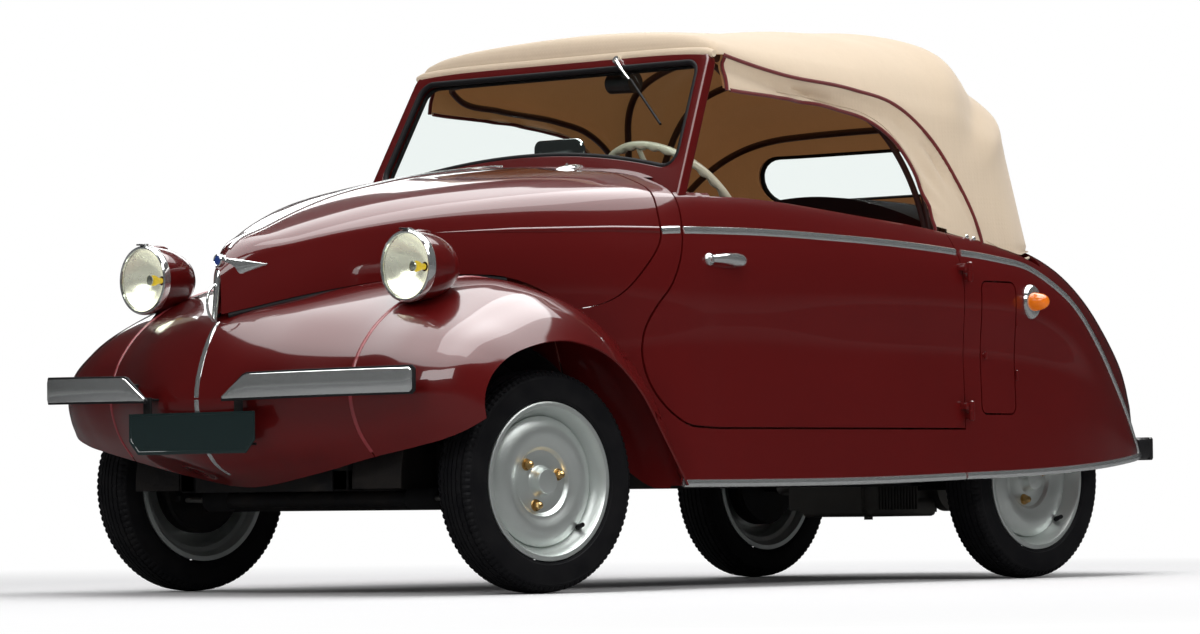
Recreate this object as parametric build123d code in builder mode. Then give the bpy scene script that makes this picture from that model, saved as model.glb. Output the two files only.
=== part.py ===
"""A small two-seat convertible car with a narrow rear track, as separate panels and running gear.

Lengths are in millimetres. While the pieces are made, x counts back from the front axle, y runs from the
car's left side (negative) to its right (positive), and z counts up from the ground. save() then moves every
piece so that the origin lies on the ground under the middle of the car.
"""
import math
import os

from build123d import *

os.makedirs("parts", exist_ok=True)

# ---------------------------------------------------------------- driving dimensions
wheelbase = 1894
front_track = 1169
rear_track = 912
tyre_radius = 252
tyre_width = 112
bead_radius = 160
rim_flange_radius = 179
rim_width = 102
rim_wall = 4
steer_at_rest = 5  # degrees, towards the car's right
king_pin_inset = 95  # from the wheel's middle plane to the king pin's axis
running_fit = 0.05  # radial clearance of a pin in its bore

nose_front = 546  # face of the front bumper ahead of the front axle
tail_back = 2612  # face of the rear bumper behind the front axle
middle_x = (tail_back - nose_front) / 2

panel = 8  # fender sheet with its hidden stiffening
bonnet_panel = 12
wall = 40  # door or side wall, outer skin to trim
canvas = 12  # soft top with its lining
shut_gap = 5  # between a moving panel and its neighbour
touch = 0.3  # between pieces that sit on one another
wheel_gap = 10  # round a tyre in its well
far = 900  # reach of a cut that goes right across the car

seam_y = 400  # fender seam from the middle plane
arch_radius = 302
arch_x = 30
arch_z = 250

sill_z = 240
cabin_front_x = 640
cabin_rear_x = 1880  # rear end of the open cabin
cabin_half = 538

rail_inner = 230
rail_width = 50
rail_z = 235
rail_height = 50
rail_front_x = -300
rail_kick = 230  # rear kick-up ahead of the rear axle
rail_tail = 460  # rear end of the rails behind the rear axle
rear_rail_rise = 78  # underside of the rear rails above the wheel's centre
cross_width = 40
floor_thick = 12
bulkhead = 12
front_bulkhead_x = 456
rear_bulkhead_x = 1600
floor_z = rail_z + rail_height
kick_x = wheelbase - rail_kick
rear_rail_z = tyre_radius + rear_rail_rise

screen_foot_x = 562
screen_foot_z = 955
screen_slope = 0.483  # run back for each unit of rise
screen_thick = 30
screen_corner = 30
glass_thick = 6
# Heights up the slope and half widths: low edge, half width there, low edge in the middle, top, half width
SCREEN_FRAME = (-82, 541, 40, 352, 492)
SCREEN_OPENING = (30, 497, 90, 318, 464)

# Sections of the hull along x:
# (x, half width at the bottom, bottom z, half width at the shoulder, shoulder z, crown z)
HULL = [
    (-436, 14, sill_z, 12, 700, 745),
    (-400, 46, sill_z, 42, 738, 790),
    (-300, 122, sill_z, 118, 772, 837),
    (-100, 255, sill_z, 248, 806, 912),
    (120, 400, sill_z, 392, 826, 962),
    (320, 537, sill_z, 522, 832, 992),
    (450, 594, sill_z, 572, 833, 1006),
    (620, 602, sill_z, 578, 835, 1016),
    (1200, 602, 245, 578, 826, 962),
    (1500, 598, 253, 572, 812, 928),
    (1800, 585, 262, 563, 774, 884),
    (2000, 566, 272, 548, 693, 842),
    (2200, 522, 286, 509, 520, 780),
    (2380, 453, 302, 441, 348, 661),
    (2495, 335, 308, 326, 335, 520),
    (2550, 175, 312, 167, 326, 368),
]
KNEE_SPAN = 0.75  # the flat of the crown, as a share of the half width
KNEE_DROP = 0.3  # how far it has fallen there, as a share of the crown's rise

# Sections of the nose and fenders along y, each as (x, z) points:
# (y, bottom front, foremost, upper front, brow, crown, back slope, heel)
PONTOON = [
    (0, (-335, 250), (-498, 440), (-434, 615), (-300, 664), (-150, 700), (120, 715), (160, 600)),
    (200, (-333, 275), (-474, 442), (-385, 622), (-260, 680), (-120, 712), (160, 700), (200, 600)),
    (seam_y, (-328, 313), (-402, 447), (-344, 580), (-215, 668), (-20, 716), (225, 625), (300, 400)),
    (520, (-312, 335), (-384, 450), (-320, 575), (-192, 648), (-10, 696), (270, 565), (440, sill_z)),
    (600, (-300, 352), (-352, 450), (-290, 560), (-170, 620), (-5, 660), (280, 535), (460, sill_z)),
    (655, (-285, 372), (-310, 452), (-250, 545), (-140, 588), (0, 610), (250, 470), (410, sill_z)),
    (690, (-258, 395), (-262, 450), (-210, 515), (-110, 546), (0, 555), (200, 430), (352, sill_z)),
]

# Side outline of the bonnet as (x, z): its lower edge, then its rear edge
BONNET_LOWER = [(-460, 630), (-400, 650), (-300, 680), (-150, 712), (0, 728), (100, 722), (222, 648)]
BONNET_REAR = [(299, 667), (384, 750), (433, 827), (434, 867), (500, 1020)]
# Line between the fender and the cowl side, downwards
FENDER_REAR = [(262, 622), (330, 540), (400, 440), (440, 340), (457, sill_z - shut_gap)]
# Side outline of a door, from its rear foot round the front
door_rear_x = 1503
door_bottom_z = 376
door_top_z = 900
DOOR = [
    (door_rear_x, door_bottom_z), (597, door_bottom_z), (493, 382), (412, 449), (378, 520), (384, 599),
    (447, 693), (500, 810), (535, door_top_z), (door_rear_x, door_top_z),
]
door_hinge_z = (418, 760)
door_hinge_height = 44
door_hinge_radius = 9
door_hinge_leaf = 22
door_hinge_root = 50  # how far a hinge leaf reaches into the body
hinge_x = door_rear_x + 4
hinge_y = 613
handle_x = (560, 690)
handle_z = (755, 779)
handle_y = (596, 612)
handle_boss = 25
handle_root = 36

hatch_x = (1575, 1710)
hatch_z = (413, 737)
hatch_corner = 18
hatch_pin_x = hatch_x[1] + 8
hatch_pin_y = -587
hatch_pin_z = (500, 650)
hatch_pin_radius = 4
hatch_ear = 20

bonnet_pin_x = 503
bonnet_pin_z = 1016
bonnet_pin_radius = 6
bonnet_pin_inner_y = 60
bonnet_tab = 20
bonnet_tab_gap = 2
bonnet_tab_deep = 32

# Lower edge of the soft top round the side opening, from the header backwards
TOP_OPENING = [
    (500, 700), (500, 1256), (725, 1256), (746, 1175), (936, 1168), (1156, 1149), (1260, 1129),
    (1342, 1084), (1398, 1025), (1443, 952), (1468, 872), (1475, 700),
]
# Sections of the soft top's roof along x: (x, seam z, crown z)
ROOF = [
    (700, 1275, 1300), (722, 1288, 1332), (800, 1275, 1348), (1180, 1225, 1374), (1500, 1200, 1388),
    (1640, 1190, 1380), (1720, 1168, 1336), (1780, 1138, 1280), (1850, 1098, 1212), (1910, 1058, 1158),
    (2060, 940, 1010),
]
roof_half = 495
roof_reach = 700  # half width at which the roof's sides end, outside the walls
roof_drop = 90  # how far they have fallen there
roof_floor = 600
top_low = (790, 550, 1985)  # z, half width and rear x of the walls' foot
top_high = (1430, 478, 1840)  # the same at their upper end
top_corner = 240
skirt_gap = 6  # soft top above the doors

window_half = 404
window_z = (985, 1108)
window_corner = 30

lamp_x = -267
lamp_y = 441
lamp_z = 736.5
lamp_radius = 76
lamp_length = 150
lamp_wall = 4

pin_radius = 14
pin_bore = pin_radius + running_fit
king_pin_y = front_track / 2 - king_pin_inset


# ---------------------------------------------------------------- helpers
def yz_plane(x):
    """Sketch plane across the car: its own x is the car's y, its own y is up."""
    return Plane(origin=(x, 0, 0), x_dir=(0, 1, 0), z_dir=(1, 0, 0))


def xz_plane(y):
    """Sketch plane along the car: its own x is the car's x, its own y is up."""
    return Plane(origin=(0, y, 0), x_dir=(1, 0, 0), z_dir=(0, -1, 0))


def crowned_top(half, z_side, z_crown):
    """Arcs over the top of a section, from its right shoulder to its left one."""
    knee = (half * KNEE_SPAN, z_crown - (z_crown - z_side) * KNEE_DROP)
    bulge = (
        (half + knee[0]) / 2 + (half - knee[0]) * 0.175,
        (z_side + knee[1]) / 2 + (knee[1] - z_side) * 0.175,
    )
    ThreePointArc((half, z_side), bulge, knee)
    ThreePointArc(knee, (0, z_crown), (-knee[0], knee[1]))
    ThreePointArc((-knee[0], knee[1]), (-bulge[0], bulge[1]), (-half, z_side))


def hull_loft(inset, drop=0):
    """Solid through the hull sections, drawn in by inset and opened downwards by drop."""
    with BuildPart() as hull:
        for x, half_bottom, z_bottom, half_shoulder, z_shoulder, z_crown in HULL:
            foot = max(half_bottom - inset, 6)
            half = max(half_shoulder - inset, 5)
            low = z_bottom - drop
            side = z_shoulder - inset / 2
            with BuildSketch(yz_plane(x)):
                with BuildLine():
                    Line((-foot, low), (foot, low))
                    Line((foot, low), (half, side))
                    crowned_top(half, side, z_crown - inset)
                    Line((-half, side), (-foot, low))
                make_face()
        loft(ruled=True)
    return hull.part


def pontoon_loft(rows):
    """Solid through the nose sections."""
    with BuildPart() as pontoon:
        for y, bottom, foremost, upper, brow, crown, back, heel in rows:
            with BuildSketch(xz_plane(y)):
                with BuildLine():
                    ThreePointArc(bottom, foremost, upper)
                    ThreePointArc(upper, brow, crown)
                    Polyline(crown, back, heel, bottom)
                make_face()
        loft(ruled=True)
    return pontoon.part


def slab(points, y_from, y_to):
    """Straight-sided block between two y values, with the given outline in x and z."""
    with BuildPart() as piece:
        with BuildSketch(xz_plane(y_from)):
            with BuildLine():
                Polyline(*points, close=True)
            make_face()
        extrude(amount=y_from - y_to)
    return piece.part


def block(x_from, x_to, y_from, y_to, z_from, z_to):
    """Box between the given faces."""
    with BuildPart() as box:
        with Locations(((x_from + x_to) / 2, (y_from + y_to) / 2, (z_from + z_to) / 2)):
            Box(x_to - x_from, abs(y_to - y_from), z_to - z_from)
    return box.part


def rod(start, end, radius):
    """Round bar from one point to another."""
    direction = Vector(*end) - Vector(*start)
    with BuildPart() as bar:
        with BuildSketch(Plane(origin=start, z_dir=direction)):
            Circle(radius)
        extrude(amount=direction.length)
    return bar.part


def moved(part, x=0, y=0, z=0):
    return part.moved(Location((x, y, z)))


def save(part, name):
    """Labels a piece, moves it to the car's own origin and writes it."""
    placed = part.moved(Location((-middle_x, 0, 0)))
    placed.label = name
    export_step(placed, f"parts/{name}.step")
    return part


SIDES = ((-1, "left"), (1, "right"))

# ---------------------------------------------------------------- nose and fenders
nose = pontoon_loft([(-y, *points) for y, *points in PONTOON[2:0:-1]] + PONTOON[:3])
fender_solids = {
    side: pontoon_loft([(side * y, *points) for y, *points in PONTOON[2:]]) for side, _ in SIDES
}
nose_outside = moved(nose, x=-touch, z=touch)
fenders_outside = {side: moved(solid, x=-touch, z=touch) for side, solid in fender_solids.items()}

apron = nose - moved(nose, x=panel, z=-panel)
save(apron, "nose_apron")
fender_front = slab([(-600, 0), (-600, 900), (262, 900), *FENDER_REAR, (457, 0)], far, -far)
for side, name in SIDES:
    skin = fender_solids[side] - moved(fender_solids[side], x=panel, y=-side * panel, z=-panel)
    arch = rod((arch_x, side * 560, arch_z), (arch_x, side * far, arch_z), arch_radius)
    save((skin & fender_front) - arch, f"fender_{name}")

# ---------------------------------------------------------------- body, doors, bonnet
outer = hull_loft(0)
outset = hull_loft(-touch)
inside = hull_loft(wall, drop=100)
shell = outer - inside

bonnet_zone = slab([*BONNET_LOWER, *BONNET_REAR, (-460, 1020)], far, -far)
behind_bonnet = slab(
    [(x + shut_gap, z) for x, z in reversed(BONNET_REAR)]
    + [*FENDER_REAR, (tail_back, sill_z - shut_gap), (tail_back, 1100), (505, 1100)],
    far, -far,
)
door_hole = [
    (x + (shut_gap if x == door_rear_x else -shut_gap), z - (shut_gap if z == door_bottom_z else 0))
    for x, z in DOOR
]
cabin = block(cabin_front_x, cabin_rear_x, -cabin_half, cabin_half, 700, 1100)
well_half = rear_track / 2 + tyre_width / 2 + wheel_gap
rear_wells = rod(
    (wheelbase, -well_half, tyre_radius), (wheelbase, well_half, tyre_radius), tyre_radius + wheel_gap * 3
)
front_wall = inside & block(front_bulkhead_x, front_bulkhead_x + bulkhead, -far, far, floor_z, far)
rear_wall = inside & block(rear_bulkhead_x, rear_bulkhead_x + bulkhead, -far, far, floor_z, 700)
body = (shell & behind_bonnet) - slab(door_hole, far, -far) - cabin - rear_wells
body = body + front_wall + rear_wall


def hatch_block(grow):
    """Rounded block through the left rear quarter, grown by the given clearance."""
    with BuildPart() as piece:
        with BuildSketch(xz_plane(-far)):
            with Locations((sum(hatch_x) / 2, sum(hatch_z) / 2)):
                long = hatch_x[1] - hatch_x[0] + grow * 2
                high = hatch_z[1] - hatch_z[0] + grow * 2
                RectangleRounded(long, high, hatch_corner + grow)
        extrude(amount=-far + cabin_half)
    return piece.part


hatch_lid = (outer - hull_loft(bonnet_panel)) & hatch_block(0)
body = body - hatch_block(shut_gap)

bonnet = (outer - hull_loft(bonnet_panel, drop=100)) & bonnet_zone
for side, name in SIDES:
    inner_y = side * bonnet_pin_inner_y
    pin_end = inner_y + side * bonnet_tab
    split_y = pin_end + side * bonnet_tab_gap
    outer_y = split_y + side * bonnet_tab
    high_z = bonnet_pin_z + bonnet_tab_gap
    low_z = high_z - bonnet_tab_deep
    x, z = bonnet_pin_x, bonnet_pin_z
    tab = block(x - bonnet_tab * 2, x, inner_y, pin_end, low_z, high_z)
    barrel = rod((x, inner_y, z), (x, pin_end, z), bonnet_pin_radius)
    bonnet = bonnet + barrel + (tab & bonnet_zone) + (tab - outer)
    tab = block(x, x + bonnet_tab * 1.5, split_y, outer_y, low_z, high_z)
    barrel = rod((x, split_y, z), (x, outer_y, z), bonnet_pin_radius)
    body = body + barrel + (tab & behind_bonnet) + (tab - outer)
save(bonnet, "bonnet")

for side, name in SIDES:
    door = (shell & slab(DOOR, side * cabin_half, side * far)) - cabin
    pin_y = side * hinge_y
    y_in, y_out = side * (hinge_y - door_hinge_root), side * (hinge_y + door_hinge_radius / 3)
    for z in door_hinge_z:
        half = door_hinge_height / 2
        leaf = block(hinge_x - door_hinge_leaf, hinge_x, y_in, y_out, z + touch, z + half) - outer
        door = door + rod((hinge_x, pin_y, z + touch), (hinge_x, pin_y, z + half), door_hinge_radius) + leaf
        foot = block(hinge_x, hinge_x + door_hinge_leaf * 0.75, y_in, y_out, z - half, z - touch) - outer
        body = body + rod((hinge_x, pin_y, z - half), (hinge_x, pin_y, z - touch), door_hinge_radius) + foot
    near_y, far_y = side * handle_y[0], side * handle_y[1]
    lever = block(*handle_x, near_y, far_y, handle_z[0] + shut_gap / 2, handle_z[1] - shut_gap / 2)
    boss = block(handle_x[0], handle_x[0] + handle_boss, near_y - side * handle_root, far_y, *handle_z)
    save(door + (lever - outer) + (boss - outer), f"door_{name}")

arm_y = (hatch_pin_y + hatch_ear * 2, hatch_pin_y - hatch_pin_radius)
low_z, high_z = hatch_pin_z
hatch_arm = block(hatch_x[1] - hatch_ear / 2, hatch_pin_x, *arm_y, low_z, high_z) - outer
hatch_pin = rod((hatch_pin_x, hatch_pin_y, low_z), (hatch_pin_x, hatch_pin_y, high_z), hatch_pin_radius)
hatch_lid = hatch_lid + hatch_arm + hatch_pin
for z in (low_z - hatch_ear - bonnet_tab_gap, high_z + bonnet_tab_gap):
    ear = block(hatch_pin_x, hatch_pin_x + hatch_ear / 2, *arm_y, z, z + hatch_ear) - outer
    ear_pin = rod((hatch_pin_x, hatch_pin_y, z), (hatch_pin_x, hatch_pin_y, z + hatch_ear), hatch_pin_radius)
    body = body + ear + ear_pin
save(hatch_lid, "side_hatch")
save(body, "body_tub")

indicator_at = (1776, 562, 692)
indicator_base = 34
indicator_cone = 20
indicator_long = 62
for side, name in SIDES:
    with BuildPart() as indicator:
        with BuildSketch(Plane.XY):
            with BuildLine():
                cone_foot, cone_neck = (indicator_cone * 1.2, 14), (indicator_cone, 40)
                Polyline((0, 0), (indicator_base, 0), (indicator_base, 8), cone_foot, cone_neck)
                Bezier(cone_neck, (indicator_cone * 0.9, indicator_long), (0, indicator_long))
                Line((0, indicator_long), (0, 0))
            make_face()
        revolve(axis=Axis.Y)
    lamp = indicator.part if side > 0 else indicator.part.rotate(Axis.Z, 180)
    x, y, z = indicator_at
    save(lamp.moved(Location((x, side * y, z))) - outset, f"indicator_{name}")

# ---------------------------------------------------------------- windscreen
screen_plane = Plane(
    origin=(screen_foot_x, 0, screen_foot_z), x_dir=(0, 1, 0), z_dir=(1, 0, -screen_slope)
)


def screen_sheet(low, low_half, low_middle, top, top_half, thick, radius=0):
    """Sheet in the windscreen's plane; heights run up the slope from its foot."""
    with BuildPart() as sheet:
        with BuildSketch(screen_plane):
            with BuildLine():
                ThreePointArc((-low_half, low), (0, low_middle), (low_half, low))
                Line((low_half, low), (top_half, top))
                Line((top_half, top), (-top_half, top))
                Line((-top_half, top), (-low_half, low))
            make_face()
        extrude(amount=thick / 2, both=True)
        if radius:
            fillet(sheet.edges().filter_by(Axis((0, 0, 0), tuple(screen_plane.z_dir))), radius)
    return sheet.part


frame = screen_sheet(*SCREEN_FRAME, screen_thick)
opening = screen_sheet(*SCREEN_OPENING, screen_thick * 2, screen_corner)
save(frame - opening - outset, "windscreen_frame")
save(screen_sheet(*SCREEN_OPENING, glass_thick, screen_corner), "windscreen_glass")


# ---------------------------------------------------------------- soft top
def top_plan(z, half, rear, inset):
    """Outline of the soft top from above at one height."""
    side = half - inset
    back = rear - inset
    turn = top_corner - inset
    with BuildSketch(Plane.XY.offset(z)) as outline:
        with BuildLine():
            Line((600, -side), (back - turn, -side))
            RadiusArc((back - turn, -side), (back, turn - side), -turn)
            Line((back, turn - side), (back, side - turn))
            RadiusArc((back, side - turn), (back - turn, side), -turn)
            Line((back - turn, side), (600, side))
            Line((600, side), (600, -side))
        make_face()
    return outline.sketch


def top_solid(inset):
    """The soft top without its openings, drawn in by inset."""
    with BuildPart() as walls:
        add(top_plan(top_low[0] - inset, *top_low[1:], inset))
        add(top_plan(*top_high, inset))
        loft(ruled=True)
    rows = ROOF if inset == 0 else [(ROOF[0][0] - inset * 2, *ROOF[0][1:]), *ROOF]
    with BuildPart() as roof:
        for x, seam_z, crown_z in rows:
            side = seam_z - inset
            with BuildSketch(yz_plane(x)):
                with BuildLine():
                    foot = (roof_reach, side - roof_drop)
                    Polyline((-foot[0], foot[1]), (-foot[0], roof_floor), (foot[0], roof_floor), foot)
                    Line(foot, (roof_half, side))
                    crowned_top(roof_half, side, crown_z - inset)
                    Line((-roof_half, side), (-foot[0], foot[1]))
                make_face()
        loft(ruled=True)
    return walls.part & roof.part


over_doors = hull_loft(-skirt_gap) & block(0, door_rear_x + shut_gap * 2, -far, far, 700, 1100)
top = top_solid(0) - top_solid(canvas) - slab(TOP_OPENING, far, -far) - outset - over_doors - frame
with BuildPart() as window_cut:
    with BuildSketch(yz_plane(1800)):
        with Locations((0, sum(window_z) / 2)):
            RectangleRounded(window_half * 2, window_z[1] - window_z[0], window_corner)
    extrude(amount=far)
save(top - window_cut.part, "soft_top")
save((top_solid(3) - top_solid(9)) & window_cut.part, "rear_window")

# ---------------------------------------------------------------- floor and frame
floor_top = floor_z + floor_thick
floor = inside & block(front_bulkhead_x + bulkhead, rear_bulkhead_x, -far, far, floor_z, floor_top)
save(floor, "floor")

rail_outer = rail_inner + rail_width
inside_nose = moved(nose, x=panel, z=-panel)
chassis = block(rail_front_x, rail_front_x + cross_width, -rail_inner, rail_inner, rail_z, floor_z)
horn_z = floor_z + 20
horn_top = floor_z + 60
horn_front_x = rail_front_x - 80
outrigger_x = 1000
rear_rail_top = rear_rail_z + rail_height
for x in (300, 1200):
    chassis = chassis + block(x, x + cross_width, -rail_inner, rail_inner, rail_z, floor_z)
rear_end = wheelbase + rail_tail
chassis = chassis + block(
    rear_end - cross_width, rear_end, -rail_inner, rail_inner, rear_rail_z, rear_rail_z + rail_height
)
for side, name in SIDES:
    inner_y, outer_y = side * rail_inner, side * rail_outer
    chassis = chassis + block(rail_front_x, kick_x + rail_width, inner_y, outer_y, rail_z, floor_z)
    chassis = chassis + block(kick_x, kick_x + rail_width, inner_y, outer_y, rail_z, rear_rail_top)
    chassis = chassis + block(kick_x, rear_end, inner_y, outer_y, rear_rail_z, rear_rail_top)
    chassis = chassis + block(rail_front_x, rail_front_x + rail_width, inner_y, outer_y, rail_z, horn_top)
    chassis = chassis + (block(horn_front_x, rail_front_x, inner_y, outer_y, horn_z, horn_top) & inside_nose)
    outrigger = block(outrigger_x, outrigger_x + cross_width, outer_y, side * far, rail_z + 10, floor_z)
    chassis = chassis + (outrigger & inside)
save(chassis, "chassis")

# ---------------------------------------------------------------- engine, exhaust
engine_front = wheelbase - 214
engine_rear = wheelbase + 226
engine = block(engine_front, engine_rear, -rail_inner + 20, rail_inner - 20, 300, 600)
engine = engine + block(engine_front, wheelbase + 86, -105, 105, 168, 310)
engine = engine + block(wheelbase + 86, wheelbase + 180, -80, 80, 205, 310)
for side, name in SIDES:
    engine = engine + block(
        engine_front + 60, engine_front + 160, side * (rail_inner - 20), side * rail_inner,
        rear_rail_z, rear_rail_z + rail_height,
    )
axle_tube_radius = 28
axle_end = rear_track / 2 - 36
axle_ends = ((wheelbase, -axle_end, tyre_radius), (wheelbase, axle_end, tyre_radius))
save(engine - rod(*axle_ends, axle_tube_radius + touch), "engine_block")

silencer_radius = 45
silencer_x = wheelbase + rail_tail - 70
silencer_z = rear_rail_z - silencer_radius
silencer = rod((silencer_x, -rail_outer, silencer_z), (silencer_x, rail_outer, silencer_z), silencer_radius)
tail_pipe = rod((silencer_x, 150, silencer_z - 15), (silencer_x + 190, 150, silencer_z - 15), 16)
save(moved(silencer + tail_pipe, z=-touch / 3), "exhaust")


# ---------------------------------------------------------------- wheels
def rim_solid(face):
    """Wheel turned about +Y at the origin; face is 1 when its outer face looks to +Y."""
    half = rim_width / 2
    bead = bead_radius
    with BuildPart() as wheel:
        with BuildSketch(Plane.XY):
            with BuildLine():
                Polyline(
                    (bead - 14, -half + 14), (bead - 4, -half + 6), (bead, -half),
                    (rim_flange_radius, -half), (rim_flange_radius, -half + rim_wall),
                    (bead, -half + rim_wall + 2), (bead - 6, -half + 22),
                    (bead - 6, half - 22), (bead, half - rim_wall - 2),
                    (rim_flange_radius, half - rim_wall), (rim_flange_radius, half),
                    (bead, half), (bead - 4, half - 6), (bead - 14, half - 14),
                    (bead - 12, 18), (120, 26), (96, 27), (84, 22), (77, 14), (40, 14), (34, 24),
                    (26, 28), (25, 52), (20, 58), (0, 60), (0, 52), (pin_bore, 46), (pin_bore, -20),
                    (34, -20), (34, 7), (77, 7), (84, 15), (96, 20), (120, 19), (bead - 14, 12),
                    close=True,
                )
            make_face()
        revolve(axis=Axis.Y)
    return wheel.part if face > 0 else wheel.part.rotate(Axis.Z, 180)


def tyre_solid():
    """Tyre turned about +Y at the origin."""
    half = tyre_width / 2
    inner = rim_width / 2 - rim_wall - touch
    seat = bead_radius + touch
    wall_foot = rim_flange_radius + 8
    shoulder = tyre_radius - 12
    bulge = (wall_foot + shoulder) / 2
    with BuildPart() as tyre:
        with BuildSketch(Plane.XY):
            with BuildLine():
                Polyline((seat, -inner + 4), (rim_flange_radius + 1, -inner), (wall_foot, -half + 6))
                ThreePointArc((wall_foot, -half + 6), (bulge, -half), (shoulder, -half + 12))
                ThreePointArc((shoulder, -half + 12), (tyre_radius, 0), (shoulder, half - 12))
                ThreePointArc((shoulder, half - 12), (bulge, half), (wall_foot, half - 6))
                Polyline(
                    (wall_foot, half - 6), (rim_flange_radius + 1, inner), (seat, inner - 4),
                    (seat + 8, inner - 14), (shoulder - 20, half - 20), (shoulder - 8, 0),
                    (shoulder - 20, -half + 20), (seat + 8, -inner + 14), (seat, -inner + 4),
                )
            make_face()
        revolve(axis=Axis.Y)
    return tyre.part


def at_wheel(part, x, y):
    return part.moved(Location((x, y, tyre_radius)))


def steered(part, side):
    """Turns a piece of the left or right front corner to the parked steering angle."""
    return part.rotate(Axis((0, side * king_pin_y, 0), (0, 0, 1)), -steer_at_rest)


# ---------------------------------------------------------------- knuckles and axles
eye_height = 20
eye_low = tyre_radius - 62
eye_high = tyre_radius + 68
upright_low = eye_low + eye_height + shut_gap
upright_high = eye_high - shut_gap
for side, name in SIDES:
    front_y = side * front_track / 2
    pin_y = side * king_pin_y
    save(steered(at_wheel(rim_solid(side), 0, front_y), side), f"wheel_front_{name}")
    save(steered(at_wheel(tyre_solid(), 0, front_y), side), f"tyre_front_{name}")
    save(at_wheel(rim_solid(side), wheelbase, side * rear_track / 2), f"wheel_rear_{name}")
    save(at_wheel(tyre_solid(), wheelbase, side * rear_track / 2), f"tyre_rear_{name}")
    knuckle = rod((0, pin_y, eye_low), (0, pin_y, eye_high + eye_height), pin_radius)
    knuckle = knuckle + rod((0, pin_y, upright_low), (0, pin_y, upright_high), pin_radius + 8)
    knuckle = knuckle + rod((0, pin_y, tyre_radius), (0, front_y - side * 26, tyre_radius), pin_radius + 6)
    knuckle = knuckle + rod((0, pin_y, tyre_radius), (0, front_y + side * 40, tyre_radius), pin_radius)
    knuckle = knuckle + block(-110, 0, pin_y - 8, pin_y + 8, upright_low, upright_low + 14)
    save(steered(knuckle, side), f"knuckle_{name}")

beam_low = rail_z - 45
beam_end = rail_outer + 40
axle = block(-35, 35, -beam_end, beam_end, beam_low, rail_z)
rack_x = -120
rack_z = rail_z - 18
axle = axle + rod((rack_x, -rail_outer - 70, rack_z), (rack_x, rail_outer + 70, rack_z), 18 - touch)
axle = axle + block(rack_x, 0, -40, 40, beam_low + 10, rail_z)
eye_top = eye_high + eye_height
for side, name in SIDES:
    pin_y = side * king_pin_y
    axle = axle + block(-30, 30, side * rail_outer, side * (rail_outer + 30), beam_low, eye_top)
    for z in (eye_low, eye_high):
        axle = axle + block(-22, 22, side * (rail_outer + 10), pin_y, z, z + eye_height)
        axle = axle + rod((0, pin_y, z), (0, pin_y, z + eye_height), pin_radius + 10)
    axle = axle - rod((0, pin_y, eye_low - 10), (0, pin_y, eye_top + 10), pin_bore)
save(axle, "front_axle")

stub_end = rear_track / 2 + 40
stub_ends = ((wheelbase, -stub_end, tyre_radius), (wheelbase, stub_end, tyre_radius))
rear_axle = rod(*axle_ends, axle_tube_radius) + rod(*stub_ends, pin_radius)
for side, name in SIDES:
    y = side * (rail_inner + rail_width / 2)
    rear_axle = rear_axle + rod((wheelbase, y, tyre_radius), (wheelbase, y, rear_rail_z), 22)
save(rear_axle, "rear_axle")

# ---------------------------------------------------------------- headlamps
for side, name in SIDES:
    brim = lamp_radius + lamp_wall + 1
    lip = lamp_radius - 3
    with BuildPart() as lamp:
        with BuildSketch(Plane.XY):
            with BuildLine():
                Polyline((lip, 0), (brim - 1, 0), (brim, 14))
                waist, pole = lamp_length / 2, lamp_length - lamp_wall
                Bezier((brim, 14), (brim, waist), (58, lamp_length), (0, lamp_length))
                Line((0, lamp_length), (0, pole))
                Bezier((0, pole), (54, pole), (brim - lamp_wall, waist), (brim - lamp_wall, 14))
                Polyline((brim - lamp_wall, 14), (lip, 14), (lip, 0))
            make_face()
        revolve(axis=Axis.Y)
    around = fenders_outside[side] + nose_outside
    bowl = lamp.part.rotate(Axis.Z, -90).moved(Location((lamp_x, side * lamp_y, lamp_z))) - around
    post_x = lamp_x + lamp_length / 2
    post = rod((post_x, side * lamp_y, 560), (post_x, side * lamp_y, lamp_z - 48), 24) - around
    save(bowl + post, f"headlamp_{name}")
    rim = lip - touch
    with BuildPart() as lens:
        with BuildSketch(Plane.XY):
            with BuildLine():
                Line((rim, 0), (rim, 3))
                Bezier((rim, 3), (50, -10), (0, -10))
                Line((0, -10), (0, -14))
                Bezier((0, -14), (50, -14), (rim, 0))
            make_face()
        revolve(axis=Axis.Y)
    glass = lens.part.rotate(Axis.Z, -90).moved(Location((lamp_x, side * lamp_y, lamp_z)))
    save(glass, f"headlamp_lens_{name}")

# ---------------------------------------------------------------- bumpers and plate
bar_thick = 8
bar_height = 54
bar_z = 448
for side, name in SIDES:
    inner_tip = (-nose_front + bar_thick, side * 129)
    bend = (-506, side * 365)
    outer_tip = (-421, side * 590)
    with BuildPart() as bar:
        with BuildSketch(Plane.XY.offset(bar_z)):
            with BuildLine():
                front = [(x - bar_thick, y) for x, y in (inner_tip, bend, outer_tip)]
                ThreePointArc(*front)
                Line(front[2], outer_tip)
                ThreePointArc(outer_tip, bend, inner_tip)
                Line(inner_tip, front[0])
            make_face()
        extrude(amount=bar_height)
    low, high = bar_z + 14, bar_z + bar_height - 14
    inner_arm = block(-530, -400, side * 238, side * 264, low, high) - nose_outside
    outer_arm = block(-474, -340, side * 480, side * 506, low, high) - fenders_outside[side]
    save(bar.part + inner_arm + outer_arm, f"bumper_front_{name}")

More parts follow.
